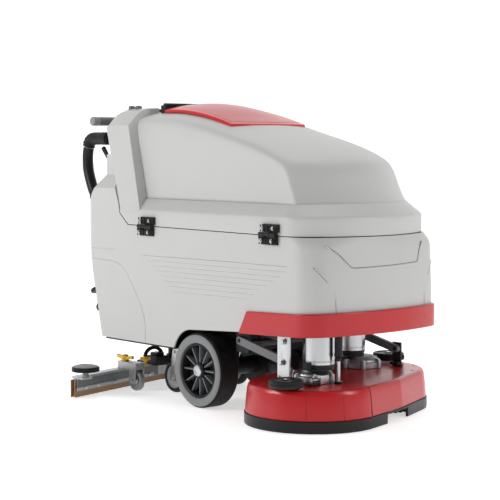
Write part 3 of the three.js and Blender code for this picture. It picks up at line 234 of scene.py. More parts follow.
DRAWN_UP = (6, 6, 1)  # grain drawn out along the upright axis
ROLLED_FLAT = (1, 1, 6)  # grain drawn out across it
BRISTLE_GRAIN = (1, 1, 0.1)
SHELL = finish("shell grey", (0.53, 0.53, 0.52), 0.46, bump=0.06, mottle=0.05)
# A dark grey painted as the shade inside the front panel's grooves.
SHELL_SHADE = finish("shell grey painted groove shade", (0.17, 0.17, 0.165), 0.6)
RED = finish("signal red", (0.48, 0.005, 0.01), 0.3, bump=0.03, mottle=0.06, coat=0.1)
# A lighter copy of the signal red, painted as light catching the lid's rolled rim.
RED_RIM_LIT = finish("signal red rim painted highlight", (0.64, 0.014, 0.02), 0.3, bump=0.03, coat=0.1)
# A dark red painted as the shade in the deck's split and creases.
RED_SHADE = finish("dark red painted groove shade", (0.10, 0.006, 0.008), 0.5)
BLACK = finish("black plastic", (0.014, 0.014, 0.015), 0.42, bump=0.12, mottle=0.3, dust=0.02)
BLACK_METAL = finish("black powder coat", (0.018, 0.018, 0.02), 0.4, grain=1400, bump=0.2, mottle=0.3,
                     dust=0.03)
TREAD = finish("tread rubber", (0.012, 0.012, 0.013), 0.7, grain=600, bump=0.25, mottle=0.5, dust=0.06)
SIDEWALL = finish("grey sidewall", (0.21, 0.215, 0.22), 0.6, grain=500, bump=0.12, mottle=0.15)
HOSE_RUBBER = finish("hose rubber", (0.012, 0.012, 0.013), 0.36, bump=0.08, mottle=0.3)
GREY_RUBBER = finish("grey rubber", (0.25, 0.255, 0.26), 0.55, bump=0.12, mottle=0.15)
BLADE = finish("amber blade rubber", (0.30, 0.17, 0.075), 0.42, bump=0.06, mottle=0.3)
STEEL = finish("zinc plated steel", (0.55, 0.56, 0.57), 0.3, 1.0, grain=240, bump=0.05, mottle=0.2,
               stretch=ROLLED_FLAT)
CAN_STEEL = finish("motor can steel", (0.50, 0.51, 0.52), 0.26, 1.0, grain=160, bump=0.04, mottle=0.25,
                   stretch=DRAWN_UP)
CAST = finish("cast alloy", (0.44, 0.45, 0.46), 0.42, 0.85, grain=700, bump=0.5, mottle=0.25, dust=0.05)
BAR_FACE = finish("squeegee bar coat", (0.16, 0.165, 0.17), 0.42, 0.4, grain=900, bump=0.1, mottle=0.3)
GRIP = finish("grip grey", (0.15, 0.155, 0.165), 0.5, grain=500, bump=0.4, mottle=0.15)
YELLOW = finish("yellow knob", (0.72, 0.43, 0.01), 0.4, bump=0.08, mottle=0.12)
BATTERY = finish("battery case", (0.024, 0.026, 0.033), 0.5, bump=0.1)
BRISTLE = finish("brush bristle", (0.02, 0.02, 0.022), 0.7, grain=500, bump=0.5, stretch=BRISTLE_GRAIN)
for dark in (BLACK, BLACK_METAL, TREAD, HOSE_RUBBER):
    dark.node_tree.nodes["Principled BSDF"].inputs["Specular IOR Level"].default_value = 0.22
print(len(bpy.data.materials), "finishes")

# %% [markdown]
# ## Helpers for shapes
# Round pieces are spun from a half outline. Shells are lofted through rings with bridge_loops. Flat
# pieces are a filled outline that is extruded. Every piece then gets rounded edges or even shading, and
# the body that it moves with.


def piece(name, shape, material, body, stands_for=(), bevel=0.0, segments=3, smooth=35):
    """Turns a bmesh into a finished object that rides on its body."""
    mesh = bpy.data.meshes.new(name)
    shape.to_mesh(mesh)
    shape.free()
    mesh.materials.append(material)
    mesh.shade_smooth()
    mesh.set_sharp_from_angle(angle=math.radians(smooth))
    made = bpy.data.objects.new(name, mesh)
    bpy.context.scene.collection.objects.link(made)
    if bevel:
        rounding = made.modifiers.new("rounded edges", "BEVEL")
        rounding.width = bevel
        rounding.segments = segments
        rounding.limit_method = "ANGLE"
        rounding.angle_limit = math.radians(30)
        rounding.harden_normals = True
    else:
        even = made.modifiers.new("even shading", "WEIGHTED_NORMAL")
        even.keep_sharp = True
    if stands_for:
        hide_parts(*([stands_for] if isinstance(stands_for, str) else stands_for))
    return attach(made, body)


def turned(outline, steps=48):
    """A closed solid turned about Z, from (radius, height) corners in millimetres."""
    shape = bmesh.new()
    points = [shape.verts.new((r * MM, 0, z * MM)) for r, z in outline]
    edges = [shape.edges.new(pair) for pair in zip(points, points[1:])]
    bmesh.ops.spin(shape, geom=points + edges, cent=(0, 0, 0), axis=(0, 0, 1), angle=math.tau,
                   steps=steps, use_merge=True)
    bmesh.ops.remove_doubles(shape, verts=shape.verts, dist=1e-6)
    bmesh.ops.recalc_face_normals(shape, faces=shape.faces)
    return shape


UPRIGHT = (0, 0, 0)
AXIS_RIGHT = (90, 0, 0)
AXIS_LEFT = (-90, 0, 0)
AXIS_FRONT = (0, 90, 0)


def moved(shape, place, turn=UPRIGHT):
    """Turns a shape by degrees about X, Y and Z, then moves it."""
    matrix = Matrix.Translation(place)
    for degrees, axis in zip(reversed(turn), "ZYX"):
        matrix = matrix @ Matrix.Rotation(math.radians(degrees), 4, axis)
    bmesh.ops.transform(shape, matrix=matrix, verts=shape.verts)
    return shape


def leaned(shape, place, axis):
    """Turns a shape's Z along an axis, then moves it."""
    turn = axis.normalized().to_track_quat("Z", "Y").to_matrix().to_4x4()
    bmesh.ops.transform(shape, matrix=Matrix.Translation(place) @ turn, verts=shape.verts)
    return shape


def joined(*shapes):
    """Several shapes in one bmesh."""
    whole = bmesh.new()
    for shape in shapes:
        mesh = bpy.data.meshes.new("part")
        shape.to_mesh(mesh)
        shape.free()
        whole.from_mesh(mesh)
        bpy.data.meshes.remove(mesh)
    return whole


def block(low, high, bevel=0.0, segments=2):
    """A box between two corners, with rounded edges."""
    shape = bmesh.new()
    bmesh.ops.create_cube(shape, size=1)
    low, high = Vector(low), Vector(high)
    bmesh.ops.scale(shape, vec=high - low, verts=shape.verts)
    bmesh.ops.translate(shape, vec=(low + high) / 2, verts=shape.verts)
    if bevel:
        bmesh.ops.bevel(shape, geom=shape.edges[:], offset=bevel, segments=segments, profile=0.5,
                        affect="EDGES", material=-1)
    return shape


def loft(rings, capped=True):
    """A skin through closed rings of points."""
    shape = bmesh.new()
    loops = []
    for ring in rings:
        points = [shape.verts.new(p) for p in ring]
        loops.append([shape.edges.new((a, b)) for a, b in zip(points, points[1:] + points[:1])])
    for lower, upper in zip(loops, loops[1:]):
        bmesh.ops.bridge_loops(shape, edges=lower + upper)
    if capped:
        for loop in (loops[0], loops[-1]):
            bmesh.ops.contextual_create(shape, geom=loop)
    bmesh.ops.recalc_face_normals(shape, faces=shape.faces)
    return shape


def plate(outline, depth):
    """A flat outline extruded along a vector."""
    shape = bmesh.new()
    face = shape.faces.new([shape.verts.new(p) for p in outline])
    grown = bmesh.ops.extrude_face_region(shape, geom=[face])
    far = [v for v in grown["geom"] if isinstance(v, bmesh.types.BMVert)]
    bmesh.ops.translate(shape, vec=depth, verts=far)
    bmesh.ops.recalc_face_normals(shape, faces=shape.faces)
    return shape


def hulled(points):
    """The tight skin round some points."""
    shape = bmesh.new()
    for p in points:
        shape.verts.new(p)
    made = bmesh.ops.convex_hull(shape, input=shape.verts)
    bmesh.ops.delete(shape, geom=list(set(made["geom_interior"] + made["geom_unused"])), context="VERTS")
    bmesh.ops.dissolve_limit(shape, angle_limit=math.radians(1), verts=shape.verts, edges=shape.edges)
    bmesh.ops.recalc_face_normals(shape, faces=shape.faces)
    return shape


def tube(route, radius, sides=10):
    """A capped round tube along a few points."""
    return loft([ring_points(point, radius, heading(route, i), sides) for i, point in enumerate(route)])


def combined(shape, tools, operation="DIFFERENCE"):
    """Cuts or joins a shape with other shapes by exact booleans, and returns the result."""
    links = bpy.context.scene.collection.objects
    mesh = bpy.data.meshes.new("work")
    shape.to_mesh(mesh)
    shape.free()
    work = bpy.data.objects.new("work", mesh)
    links.link(work)
    helpers = []
    for tool in tools:
        tool_mesh = bpy.data.meshes.new("tool")
        tool.to_mesh(tool_mesh)
        tool.free()
        helper = bpy.data.objects.new("tool", tool_mesh)
        links.link(helper)
        helpers.append(helper)
        step = work.modifiers.new("step", "BOOLEAN")
        step.object = helper
        step.operation = operation
        step.solver = "EXACT"
    bpy.context.view_layer.update()
    result = bmesh.new()
    result.from_object(work, bpy.context.evaluated_depsgraph_get())
    for helper in [work, *helpers]:
        old = helper.data
        bpy.data.objects.remove(helper)
        bpy.data.meshes.remove(old)
    return result


def copied(node):
    """A CAD node's shape with its corners merged and its flat faces made whole."""
    shape = bmesh.new()
    shape.from_mesh(frame["nodes"][node].data)
    bmesh.ops.remove_doubles(shape, verts=shape.verts, dist=1e-6)
    bmesh.ops.dissolve_limit(shape, angle_limit=math.radians(0.6), verts=shape.verts, edges=shape.edges)
    return shape


def body_of(node):
    """The body that a working node rides on."""
    return frame["nodes"][node]["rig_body"]


def edged(node, material, bevel=0.0012, segments=2, smooth=35):
    """A CAD node made again with rounded edges."""
    shape = copied(node)
    return piece(f"{node}_finished", shape, material, body_of(node), node, bevel, segments, smooth)


def spun_piece(name, outline, place, material, body, stands_for=(), turn=UPRIGHT, steps=48, smooth=35):
    """A turned piece, set in its place."""
    shape = moved(turned(outline, steps), place, turn)
    return piece(name, shape, material, body, stands_for, smooth=smooth)


def round_bar(radius, low, high):
    """The half outline of a plain round bar."""
    return [(0, low), (radius, low), (radius, high), (0, high)]


def ring_points(centre, radius, turn, sides):
    """Points of a circle round a place, square to a turned axis."""
    angles = (math.tau * k / sides for k in range(sides))
    return [centre + turn @ Vector((radius * math.cos(a), radius * math.sin(a), 0)) for a in angles]


def heading(route, i):
    """The turn that points Z along a route at one of its points."""
    ahead = route[min(i + 1, len(route) - 1)] - route[max(i - 1, 0)]
    return ahead.to_track_quat("Z", "Y")


def bolt(radius, height, place, turn=UPRIGHT):
    """A hexagon bolt head on a washer."""
    washer = turned([(0, 0), (radius * 1.35, 0), (radius * 1.35, 1.2), (0, 1.2)], 20)
    head = turned([(0, 1), (radius, 1), (radius, height - 1), (radius * 0.8, height), (0, height)], 6)
    return moved(joined(washer, head), place, turn)


print("helpers ready")

# %% [markdown]
# ## The hose at the rear
# A smooth rubber hose rises from a cuff on the shoulder and bends into a ribbed elbow on the tank. Its
# two ends are held, so it keeps one curve. It is lofted through rings along its route.

# %% Make the recovery hose, its cuff and its elbow
HOSE_Y = -262
HOSE_RADIUS = 21
CUFF_FOOT = (-674.4, 729.8)
SLOPE = Vector((102, 0, 123)).normalized()


def from_cuff(distance):
    """A point on the cuff's axis, counted in millimetres from the shoulder."""
    return at(CUFF_FOOT[0] - SLOPE.z * distance, HOSE_Y, CUFF_FOOT[1] + SLOPE.x * distance)


def through(points, steps):
    """Points on a smooth curve through the given ones."""
    out = []
    padded = [points[0] * 2 - points[1], *points, points[-1] * 2 - points[-2]]
    for a, b, c, d in zip(padded, padded[1:], padded[2:], padded[3:]):
        for k in range(steps):
            t = k / steps
            out.append(0.5 * (2 * b + (c - a) * t + (2 * a - 5 * b + 4 * c - d) * t * t
                              + (3 * b - a - 3 * c + d) * t ** 3))
    return [*out, points[-1]]


HOSE_STOPS = [(-733, 803), (-748, 846), (-751, 896), (-745, 930)]
hose_start = [from_cuff(distance) for distance in (1, 24, 48)]
hose_route = through([*hose_start, *(at(x, HOSE_Y, z) for x, z in HOSE_STOPS)], 4)
hose_length = sum((b - a).length for a, b in zip(hose_route, hose_route[1:]))
hose = tube(hose_route, HOSE_RADIUS * MM, 32)
piece("recovery_hose_rubber", hose, HOSE_RUBBER, "chassis", "recovery_hose", smooth=60)

ELBOW_STOPS = [(-743.6, 936.6), (-737, 952), (-719, 963), (-690, 965.5), (-612.5, 965)]
elbow_route = through([at(x, HOSE_Y, z) for x, z in ELBOW_STOPS], 12)


def ribbed_tube(route, radius, rib, pitch):
    """A tube whose wall swells in rounded ribs along its length."""
    rings = []
    run = 0
    for i, point in enumerate(route):
        run += (point - route[i - 1]).length if i else 0
        swell = radius + rib * (0.5 + 0.5 * math.cos(math.tau * run / pitch))
        rings.append(ring_points(point, swell, heading(route, i), 28))
    return loft(rings)


elbow = ribbed_tube(elbow_route, 22.5 * MM, 2.6 * MM, 11 * MM)
piece("hose_elbow_ribbed", elbow, BLACK, "chassis", "hose_elbow", smooth=60)
cuff = turned([(22, 0), (31, 0), (31, 6), (28, 9), (29, 26), (27, 30), (22, 30), (22, 0)], 40)
piece("hose_cuff_ring", leaned(cuff, from_cuff(0.3), from_cuff(30) - from_cuff(0)), BLACK, "chassis",
      "hose_cuff")
print("hose", round(hose_length, 3), "m")

# %% [markdown]
# ## The lower shell
# The shell is one moulding: upright sides, a bowed front, and a wheel arch on each side. It is lofted
# through plans at a few heights, then its side outline, hollow and grooves are cut by booleans, and a
# bevel rounds every edge.

# %% Loft and cut the lower shell
def bowed_plan(half, front, front_radius, corner, rear, rear_radius, z, fall=0.0):
    """The body from above as a ring of points at height z, which may fall towards the front.

    The front is one wide arc with a rounded corner on each side, and the rear is square with small
    rounded corners.
    """
    bow = front - front_radius
    corner_y = half - corner
    corner_x = bow + math.sqrt((front_radius - corner) ** 2 - corner_y ** 2)
    turn = math.atan2(corner_y, corner_x - bow)
    ring = []

    def arc(cx, cy, radius, start, end, steps):
        for k in range(steps + 1):
            a = start + (end - start) * k / steps
            ring.append((cx + radius * math.cos(a), cy + radius * math.sin(a)))

    arc(corner_x, -corner_y, corner, -math.pi / 2, -turn, 12)
    arc(bow, 0, front_radius, -turn + 0.02, turn - 0.02, 24)
    arc(corner_x, corner_y, corner, turn, math.pi / 2, 12)
    arc(rear + rear_radius, half - rear_radius, rear_radius, math.pi / 2, math.pi, 8)
    arc(rear + rear_radius, rear_radius - half, rear_radius, math.pi, math.pi * 1.5, 8)
    return [at(x, y, z + fall * x) for x, y in ring]


SEAM_Z = 637
SEAM_FALL = -0.008
BODY_HALF = 313
FOOT_FRONT = 638
FOOT_RADIUS = 790
FOOT_CORNER = 94
REAR_X = -703
REAR_CORNER = 60
WALL = 6
SHELL_PLANS = (  # height, front, radius of the front and of its corners
    (140, FOOT_FRONT, FOOT_RADIUS, FOOT_CORNER),
    (281, FOOT_FRONT, FOOT_RADIUS, FOOT_CORNER),
    (440, 634, 788, 95),
    (590, 627, 779, 94),
    (612, 624, 700, 100),
    (642, 616, 504, 121),
    (960, 616, 504, 121),
)
ARCH = ((-30, 279), (-112, 279), (-141, 204))  # front, bend and rear of the wheel arch, (x, z)


def arch_points():
    """The wheel arch, from its front down to the shell's lower edge."""
    points = []
    for k in range(13):
        t = k / 12
        weights = ((1 - t) ** 2, 2 * t * (1 - t), t * t)
        points.append(tuple(sum(w * corner[i] for w, corner in zip(weights, ARCH)) for i in (0, 1)))
    return points


def shell_block(inset):
    """The body's plans joined into one block. An inset one makes the hollow."""
    return loft([
        bowed_plan(BODY_HALF - inset, front - inset, radius, corner - inset, REAR_X + inset,
                   REAR_CORNER - inset, z)
        for z, front, radius, corner in SHELL_PLANS
    ])


def side_cut(corners, half=400):
    """A side outline made wide enough to cut the whole body."""
    return plate([at(x, -half, z) for x, z in corners], Vector((0, 2 * half * MM, 0)))


def band_z(x):
    """The front band's lower edge, which rises slightly towards the front."""
    return 281 + 0.04 * x


shell_side = [
    (658, band_z(FOOT_FRONT) + 5), (227, band_z(227) + 5), *arch_points(), (-590, 204), (-703, 690),
    (-695, 705), (-593, 828), (-593, 905), (-552.5, 905), (-479, 718), (-474, 685),
    (-421, SEAM_Z + SEAM_FALL * -421), (656, SEAM_Z + SEAM_FALL * 616),
]
hollow_side = [
    (658, 170), (-584, 170), (-584, 204), (-697, 690), (-587, 822), (-587, 899), (-564.5, 899),
    (-485, 718), (-480, 687), (-423, 634), (-411, 634), (-411, 677), (656, 677),
]
COLUMN_HALF = 283
COLUMN_TOOL = ((0, 828), (0, 985), (50, 742), (110, 742), (110, 985))  # out from the column, height


def column_sides(inset):
    """What leaves the column narrower than the body, above the shoulder."""
    tools = []
    for _, s in SIDES:
        corners = []
        for x in (-743, -490):
            corners += [at(x, s * (COLUMN_HALF + out - inset), z) for out, z in COLUMN_TOOL]
        tools.append(hulled(corners))
    return tools


def groove(points, radius):
    """A round tool that presses a groove along a few points."""
    return tube([at(*p) for p in points], radius * MM, 8)


def rounded_route(corners, bend=26):
    """A route with its corners turned into short arcs."""
    out = [Vector(corners[0])]
    for a, b, c in zip(corners, corners[1:], corners[2:]):
        a, b, c = Vector(a), Vector(b), Vector(c)
        start = b + (a - b).normalized() * min(bend, (a - b).length / 2)
        end = b + (c - b).normalized() * min(bend, (c - b).length / 2)
        for k in range(6):
            t = k / 5
            out.append((1 - t) ** 2 * start + 2 * t * (1 - t) * b + t * t * end)
    return [*out, Vector(corners[-1])]


REAR_PANEL = [(-645, 504), (-491, 499), (-434, 470), (-340, 348), (-313, 283), (-312, 200)]
side_grooves = []
for _, s in SIDES:
    y = s * (BODY_HALF + 0.6)
    side_grooves.append(groove([(-659, y, 545.5), (-510, y, 545)], 2.4))
    side_grooves.append(groove(rounded_route([(x, y, z) for x, z in REAR_PANEL]), 2.6))
    side_grooves.append(groove([(-323, y, 532), (100, y, 536), (470, y, 536)], 1.8))
shell = combined(shell_block(0), [side_cut(shell_side)], "INTERSECT")
hollow = combined(shell_block(WALL), [side_cut(hollow_side)], "INTERSECT")
hollow = combined(hollow, column_sides(WALL))
hose_hole = tube([at(-697.4, HOSE_Y, 748.8), at(-643.4, HOSE_Y, 703.8)], 22.5 * MM, 24)
shell = combined(shell, [*column_sides(0), hollow, hose_hole])
shell = combined(shell, side_grooves)
piece("lower_shell", shell, SHELL, "chassis", "base_shell", bevel=0.003, segments=3, smooth=28)

# %% [markdown]
# ## Lines pressed into the lower shell
# Faint ribs run along the flank under the feature line. The front has a shallow panel with bright
# edges, and a step that comes down to the band. They are thin mouldings on the wall, so they catch
# light from the side. Dark lines beside the beads are painted shade, standing for the shadow in their
# grooves.

# %% Add the ribs and the front panel
LEAN_FOOT = 300
LEAN_HEIGHT = 290
LEAN_BACK = 11


def wall_point(y, z, proud=0.0):
    """A point on the front wall, which leans back a little with height."""
    front = FOOT_FRONT - (LEAN_BACK * (z - LEAN_FOOT) / LEAN_HEIGHT if z > LEAN_FOOT else 0)
    bow = front - FOOT_RADIUS
    corner_y = BODY_HALF - FOOT_CORNER
    corner_x = bow + math.sqrt((FOOT_RADIUS - FOOT_CORNER) ** 2 - corner_y ** 2)
    wall_x = bow + math.sqrt(FOOT_RADIUS ** 2 - y ** 2)
    edge_y = abs(y) - corner_y
    if edge_y > 0:
        wall_x = min(wall_x, corner_x + math.sqrt(max(0, FOOT_CORNER ** 2 - edge_y ** 2)))
    return at(wall_x + proud, y, z)


RIBS = 7
RIB_PITCH = 17.5
ribs = []
for _, s in SIDES:
    for k in range(RIBS):
        z = 514 - RIB_PITCH * k
        x0, x1 = -300 + 26 * k, 470 - 34 * k
        run = [at(x0 + (x1 - x0) * t, s * 312.4, z + 3 * t) for t in (0, 0.05, 0.5, 0.95, 1)]
        ribs.append(tube(run, 1.3 * MM, 6))
    feature = [at(x, s * 312.2, z) for x, z in ((-322, 529), (100, 533), (470, 533))]
    ribs.append(tube(feature, 2.0 * MM, 8))
piece("flank_ribs", joined(*ribs), SHELL, "chassis", smooth=60)


def wall_line(corners, radius, proud):
    """A rounded bead that follows the front wall through (y, z) corners."""
    path = rounded_route([(y, 0, z) for y, z in corners], 14)
    fine = []
    for a, b in zip(path, path[1:]):
        count = max(1, int((b - a).length // 12))
        fine += [a + (b - a) * (k / count) for k in range(count)]
    fine.append(path[-1])
    return tube([wall_point(p.x, p.z, proud) for p in fine], radius * MM, 8)


STEP_BEAD = [(279, 533), (274, 528), (222, 469), (211, 435), (203, 310)]
STEP_SHADE = [(284, 536), (279, 530), (228, 468), (217, 433), (209, 310)]
PANEL_BEAD = [(-244, 606), (-201, 574), (-155, 526), (-14, 528), (174, 533), (187, 577), (205, 606)]
PANEL_SHADE = [(-240, 606), (-196, 575), (-151, 531), (-14, 533), (169, 538), (182, 580), (200, 606)]


def front_lines(step, panel, step_radius, panel_radius, step_proud, panel_proud):
    """The step on both corners and the panel between them."""
    lines = [wall_line([(s * y, z) for y, z in step], step_radius, step_proud) for s in (-1, 1)]
    return joined(*lines, wall_line(panel, panel_radius, panel_proud))


beads = front_lines(STEP_BEAD, PANEL_BEAD, 3.4, 3.0, -1.2, -1.0)
piece("front_beads", beads, SHELL, "chassis", smooth=60)
# Thin dark lines beside the beads: painted shade of the grooves, not a colour of the shell.
shades = front_lines(STEP_SHADE, PANEL_SHADE, 1.6, 1.6, -0.4, -0.4)
piece("front_shade_lines", shades, SHELL_SHADE, "chassis", smooth=60)
print("lower shell done")

# %% [markdown]
# ## The recovery tank
# Its crowned top and bowed front are one soft sheet. It is a grid that follows the crease line from
# the rear to the front, smoothed so that the crease turns softly. The full-width rear end, the flange
# over the seam, a black band of painted shade in the seam and the underside are separate closed forms.

# %% Loft the tank's crown, rear end and flange
CREASE = [(-590, 1020), (-450, 1034), (-270, 1036), (-96, 1017), (77, 979), (228, 943), (352, 901),
          (406, 863), (440, 795), (469, 741)]
CREASE_HALF = 258
CROWN_RISE = 42
FRONT_BOW = 92
FOOT_HALF = 270
CROWN_FOOT = 739
SIDE_STEPS = 12


def smoothstep(x, low, high):
    """0 below low, 1 above high, and an even curve between."""
    t = min(1, max(0, (x - low) / (high - low)))
    return t * t * (3 - 2 * t)


crease_line = through([Vector((x, 0, z)) for x, z in CREASE], 10)


def crown_rise(x):
    """How far the crown stands over the crease, which fades towards the front."""
    return CROWN_RISE * (1 - smoothstep(x, -300, 380))


def crease_z(x):
    """The crease's height along the machine."""
    for a, b in zip(crease_line, crease_line[1:]):
        if a.x <= x <= b.x:
            return a.z + (b.z - a.z) * (x - a.x) / (b.x - a.x)
    return crease_line[-1].z


def crown_z(x, y):
    """The crown's height at a place on the tank."""
    return crease_z(x) + crown_rise(x) * (1 - (y / CREASE_HALF) ** 2)


def crown_section(crease):
    """One arch across the tank, from the right foot over the crown to the left foot."""
    sides = []
    for s in (-1, 1):
        side = []
        for k in range(SIDE_STEPS):
            t = k / SIDE_STEPS
            y = s * (FOOT_HALF - (FOOT_HALF - CREASE_HALF) * t)
            side.append((crease.x, y, CROWN_FOOT + (crease.z - CROWN_FOOT) * t))
        sides.append(side if s < 0 else side[::-1])
    crown = []
    for k in range(33):
        across = math.sin((k / 32 - 0.5) * math.pi) * 0.35 + (k / 16 - 1) * 0.65
        flat = 1 - across * across
        forward = smoothstep(crease.x, -250, 430)
        z = crease.z + crown_rise(crease.x) * flat
        crown.append((crease.x + FRONT_BOW * forward * flat, across * CREASE_HALF, z))
    return [at(*p) for p in sides[0] + crown + sides[1]]


def face_up(shape):
    """Turns an open skin's faces so that they look up."""
    if sum(f.normal.z * f.calc_area() for f in shape.faces) < 0:
        bmesh.ops.reverse_faces(shape, faces=shape.faces)


def open_loft(lines):
    """A skin through open rows of points."""
    shape = bmesh.new()
    rows = []
    for line in lines:
        points = [shape.verts.new(p) for p in line]
        rows.append([shape.edges.new(pair) for pair in zip(points, points[1:])])
    for lower, upper in zip(rows, rows[1:]):
        bmesh.ops.bridge_loops(shape, edges=lower + upper)
    bmesh.ops.recalc_face_normals(shape, faces=shape.faces)
    return shape


rows = [p for p in crease_line if p.x > -486]
fine_rows = []
for a, b in zip(rows, rows[1:]):
    fine_rows += [a, (a + b) / 2]
fine_rows.append(rows[-1])
crown = open_loft([crown_section(p) for p in fine_rows])
for _ in range(10):
    inner = [v for v in crown.verts if not v.is_boundary]
    bmesh.ops.smooth_vert(crown, verts=inner, factor=0.5, use_axis_x=True, use_axis_y=True,
                          use_axis_z=True)
face_up(crown)
crown_piece = piece("tank_crown", crown, SHELL, "tank", smooth=180)
thickness = crown_piece.modifiers.new("wall", "SOLIDIFY")
thickness.thickness = WALL * MM
thickness.offset = -1


def tank_rear(z):
    """The tank's leaning rear face."""
    return -476 - 121 / 308 * (z - 718)


PILLAR_TOP = ((290, 1015), (240, 1064), (200, 1079), (120, 1083), (0, 1085))  # half width, height
pillar_points = []
for s in (-1, 1):
    pillar_points += [at(tank_rear(690), s * BODY_HALF, 690), at(-345, s * BODY_HALF, 700)]
    for half, top in PILLAR_TOP:
        pillar_points += [at(tank_rear(top - 34), s * half, top - 34), at(-585, s * half, top - 8),
                          at(-560, s * half, top), at(-445, s * half, top)]
rear_end = combined(hulled(pillar_points), [block(at(-760, -144, 1058), at(-440, 144, 1200))])
piece("tank_rear_end", rear_end, SHELL, "tank", bevel=0.009, segments=4, smooth=28)


def seam_ring(inset, rear, z, fall=0.0):
    """The tank's outline at the seam, brought in by an inset."""
    return bowed_plan(BODY_HALF - inset, 616 - inset, 504 - inset, 121 - inset, rear, 5, z, fall)


def foot_ring(grow, z):
    """The outline where the tank's walls stand on the ledge."""
    return bowed_plan(FOOT_HALF + grow, 562 + grow, 420 + grow, 60 + grow, -482, 5, z)


flange = loft([
    seam_ring(7, -421, SEAM_Z + 3.2, SEAM_FALL),
    seam_ring(1.5, -421, SEAM_Z + 3.0, SEAM_FALL),
    seam_ring(0, -422, SEAM_Z + 5.0, SEAM_FALL),
    seam_ring(0, -471, 685),
    seam_ring(0, -474, 694),
    seam_ring(2, -475, 700),
    seam_ring(6, -476, 704),
    foot_ring(8, 737),
    foot_ring(3, 741),
    foot_ring(-6, 742.5),
])
piece("tank_flange", flange, SHELL, "tank", "recovery_tank", smooth=40)
# A black band set in the seam, painted as the shadow line between the tank and the lower shell.
shade_band_foot = seam_ring(3, -423, SEAM_Z - 6, SEAM_FALL)
shade_band_top = seam_ring(3, -421, SEAM_Z + 6, SEAM_FALL)
piece("seam_shade_band", loft([shade_band_foot, shade_band_top]), BLACK, "tank", smooth=40)
underside = loft([seam_ring(9, -423, SEAM_Z - drop, SEAM_FALL) for drop in (7.2, 6.3)])
piece("tank_underside", underside, SHELL, "tank", smooth=40)
print("tank done")

# %% [markdown]
# ## The lid
# A red dished cover lies on the crown, with a rolled rim around a flatter field. The rim and the field
# are two skins made from the same formula for the crown. The rim's lighter red is painted light on the
# rolled edge.

# %% Loft the lid
def lid_row(t, half, lift, x0, x1, bow, count=22):
    """One row of the lid's skin across the machine, a share t of the way to its front."""
    row = []
    for k in range(count + 1):
        across = -1 + 2 * k / count
        x = x0 + (x1 + bow * (1 - across * across) - x0) * t
        y = across * half
        puff = 6 * math.sin(math.pi * min(1, t + 0.15)) * (1 - across ** 2)
        row.append(at(x, y, crown_z(x, y) + lift + puff))
    return row


def lid_skin(half, lift, x0, x1, bow, steps=26):
    """Rows of the lid's skin, lifted off the crown, with a bowed front."""
    return [lid_row(i / steps, half, lift, x0, x1, bow) for i in range(steps + 1)]


def thick_sheet(rows, depth):
    """An open skin given a straight thickness downwards."""
    shape = open_loft(rows)
    face_up(shape)
    grown = bmesh.ops.extrude_face_region(shape, geom=shape.faces[:])
    lifted = [v for v in grown["geom"] if isinstance(v, bmesh.types.BMVert)]
    low = [v for v in shape.verts if v not in set(lifted)]
    bmesh.ops.translate(shape, vec=(0, 0, -depth * MM), verts=low)
    bmesh.ops.recalc_face_normals(shape, faces=shape.faces)
    return shape


lid_rim = thick_sheet(lid_skin(182, 14, -362, 28, 34), 13)
# The rim gets the lighter red: painted light on the same plastic as the field.
piece("lid_rim", lid_rim, RED_RIM_LIT, "lid", "lid", bevel=0.005, segments=4, smooth=40)
lid_field = thick_sheet(lid_skin(166, 15.0, -346, 10, 32), 8)
piece("lid_field", lid_field, RED, "lid", bevel=0.002, segments=2, smooth=40)
edged("lid_hinge", BLACK, 0.002)
edged("dash_panel", BLACK, 0.0015)
edged("key_switch", STEEL, 0.0006)
edged("stop_button", RED, 0.002)
TOP_CAP = [(0, 0), (13, 0), (13, 9), (10, 13), (0, 14)]
for x in (-505, -548):
    spun_piece(f"top_cap_{-x}", TOP_CAP, at(x, -196, 1077), GRIP, "tank", steps=32)
print("lid done")

# %% [markdown]
# ## The tank's side hinges
# Each hinge has two moulded leaves with ribs and four bolts. The leaves keep the working shape and get
# bevels, ribs and bolt heads.

# %% Make the hinges
for end, x in (("rear", -296), ("front", 388)):
    for level, body, z, shift in (("lower", "chassis", 618.5, 0), ("upper", "tank", 661.5, 7)):
        node = f"hinge_{level}_{end}"
        edged(node, BLACK, 0.0012)
        low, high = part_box(node)
        slats = []
        for k in range(5):
            rib = Vector((low.x + (high.x - low.x) * (0.1 + 0.2 * k), low.y, z * MM))
            rib_low = rib - Vector((0.0016, 0.0022, 0.012))
            rib_high = rib + Vector((0.0016, 0.001, 0.012))
            slats.append(block(rib_low, rib_high, 0.0008))
        piece(f"{node}_ribs", joined(*slats), BLACK, body)
        heads = []
        for dx in (-27, 27):
            place = Vector((AXLE + (x + shift + dx) * MM, low.y, z * MM))
            heads.append(bolt(5.2, 4.5, place, AXIS_RIGHT))
        piece(f"{node}_bolts", joined(*heads), STEEL, body)
print("hinges done")

# %% [markdown]
# ## The front band
# The red bumper keeps its working shape, with a soft edge along its top and bottom.

# %% Round the front band
edged("front_band", RED, 0.005, 4)
print("band done")

# %% [markdown]
# ## Drive wheels
# A solid grey tyre carries a black tread, and the black rim has twelve slim spokes and a steel cap. The
# tyre and rim are spun from half outlines and turned on their side.

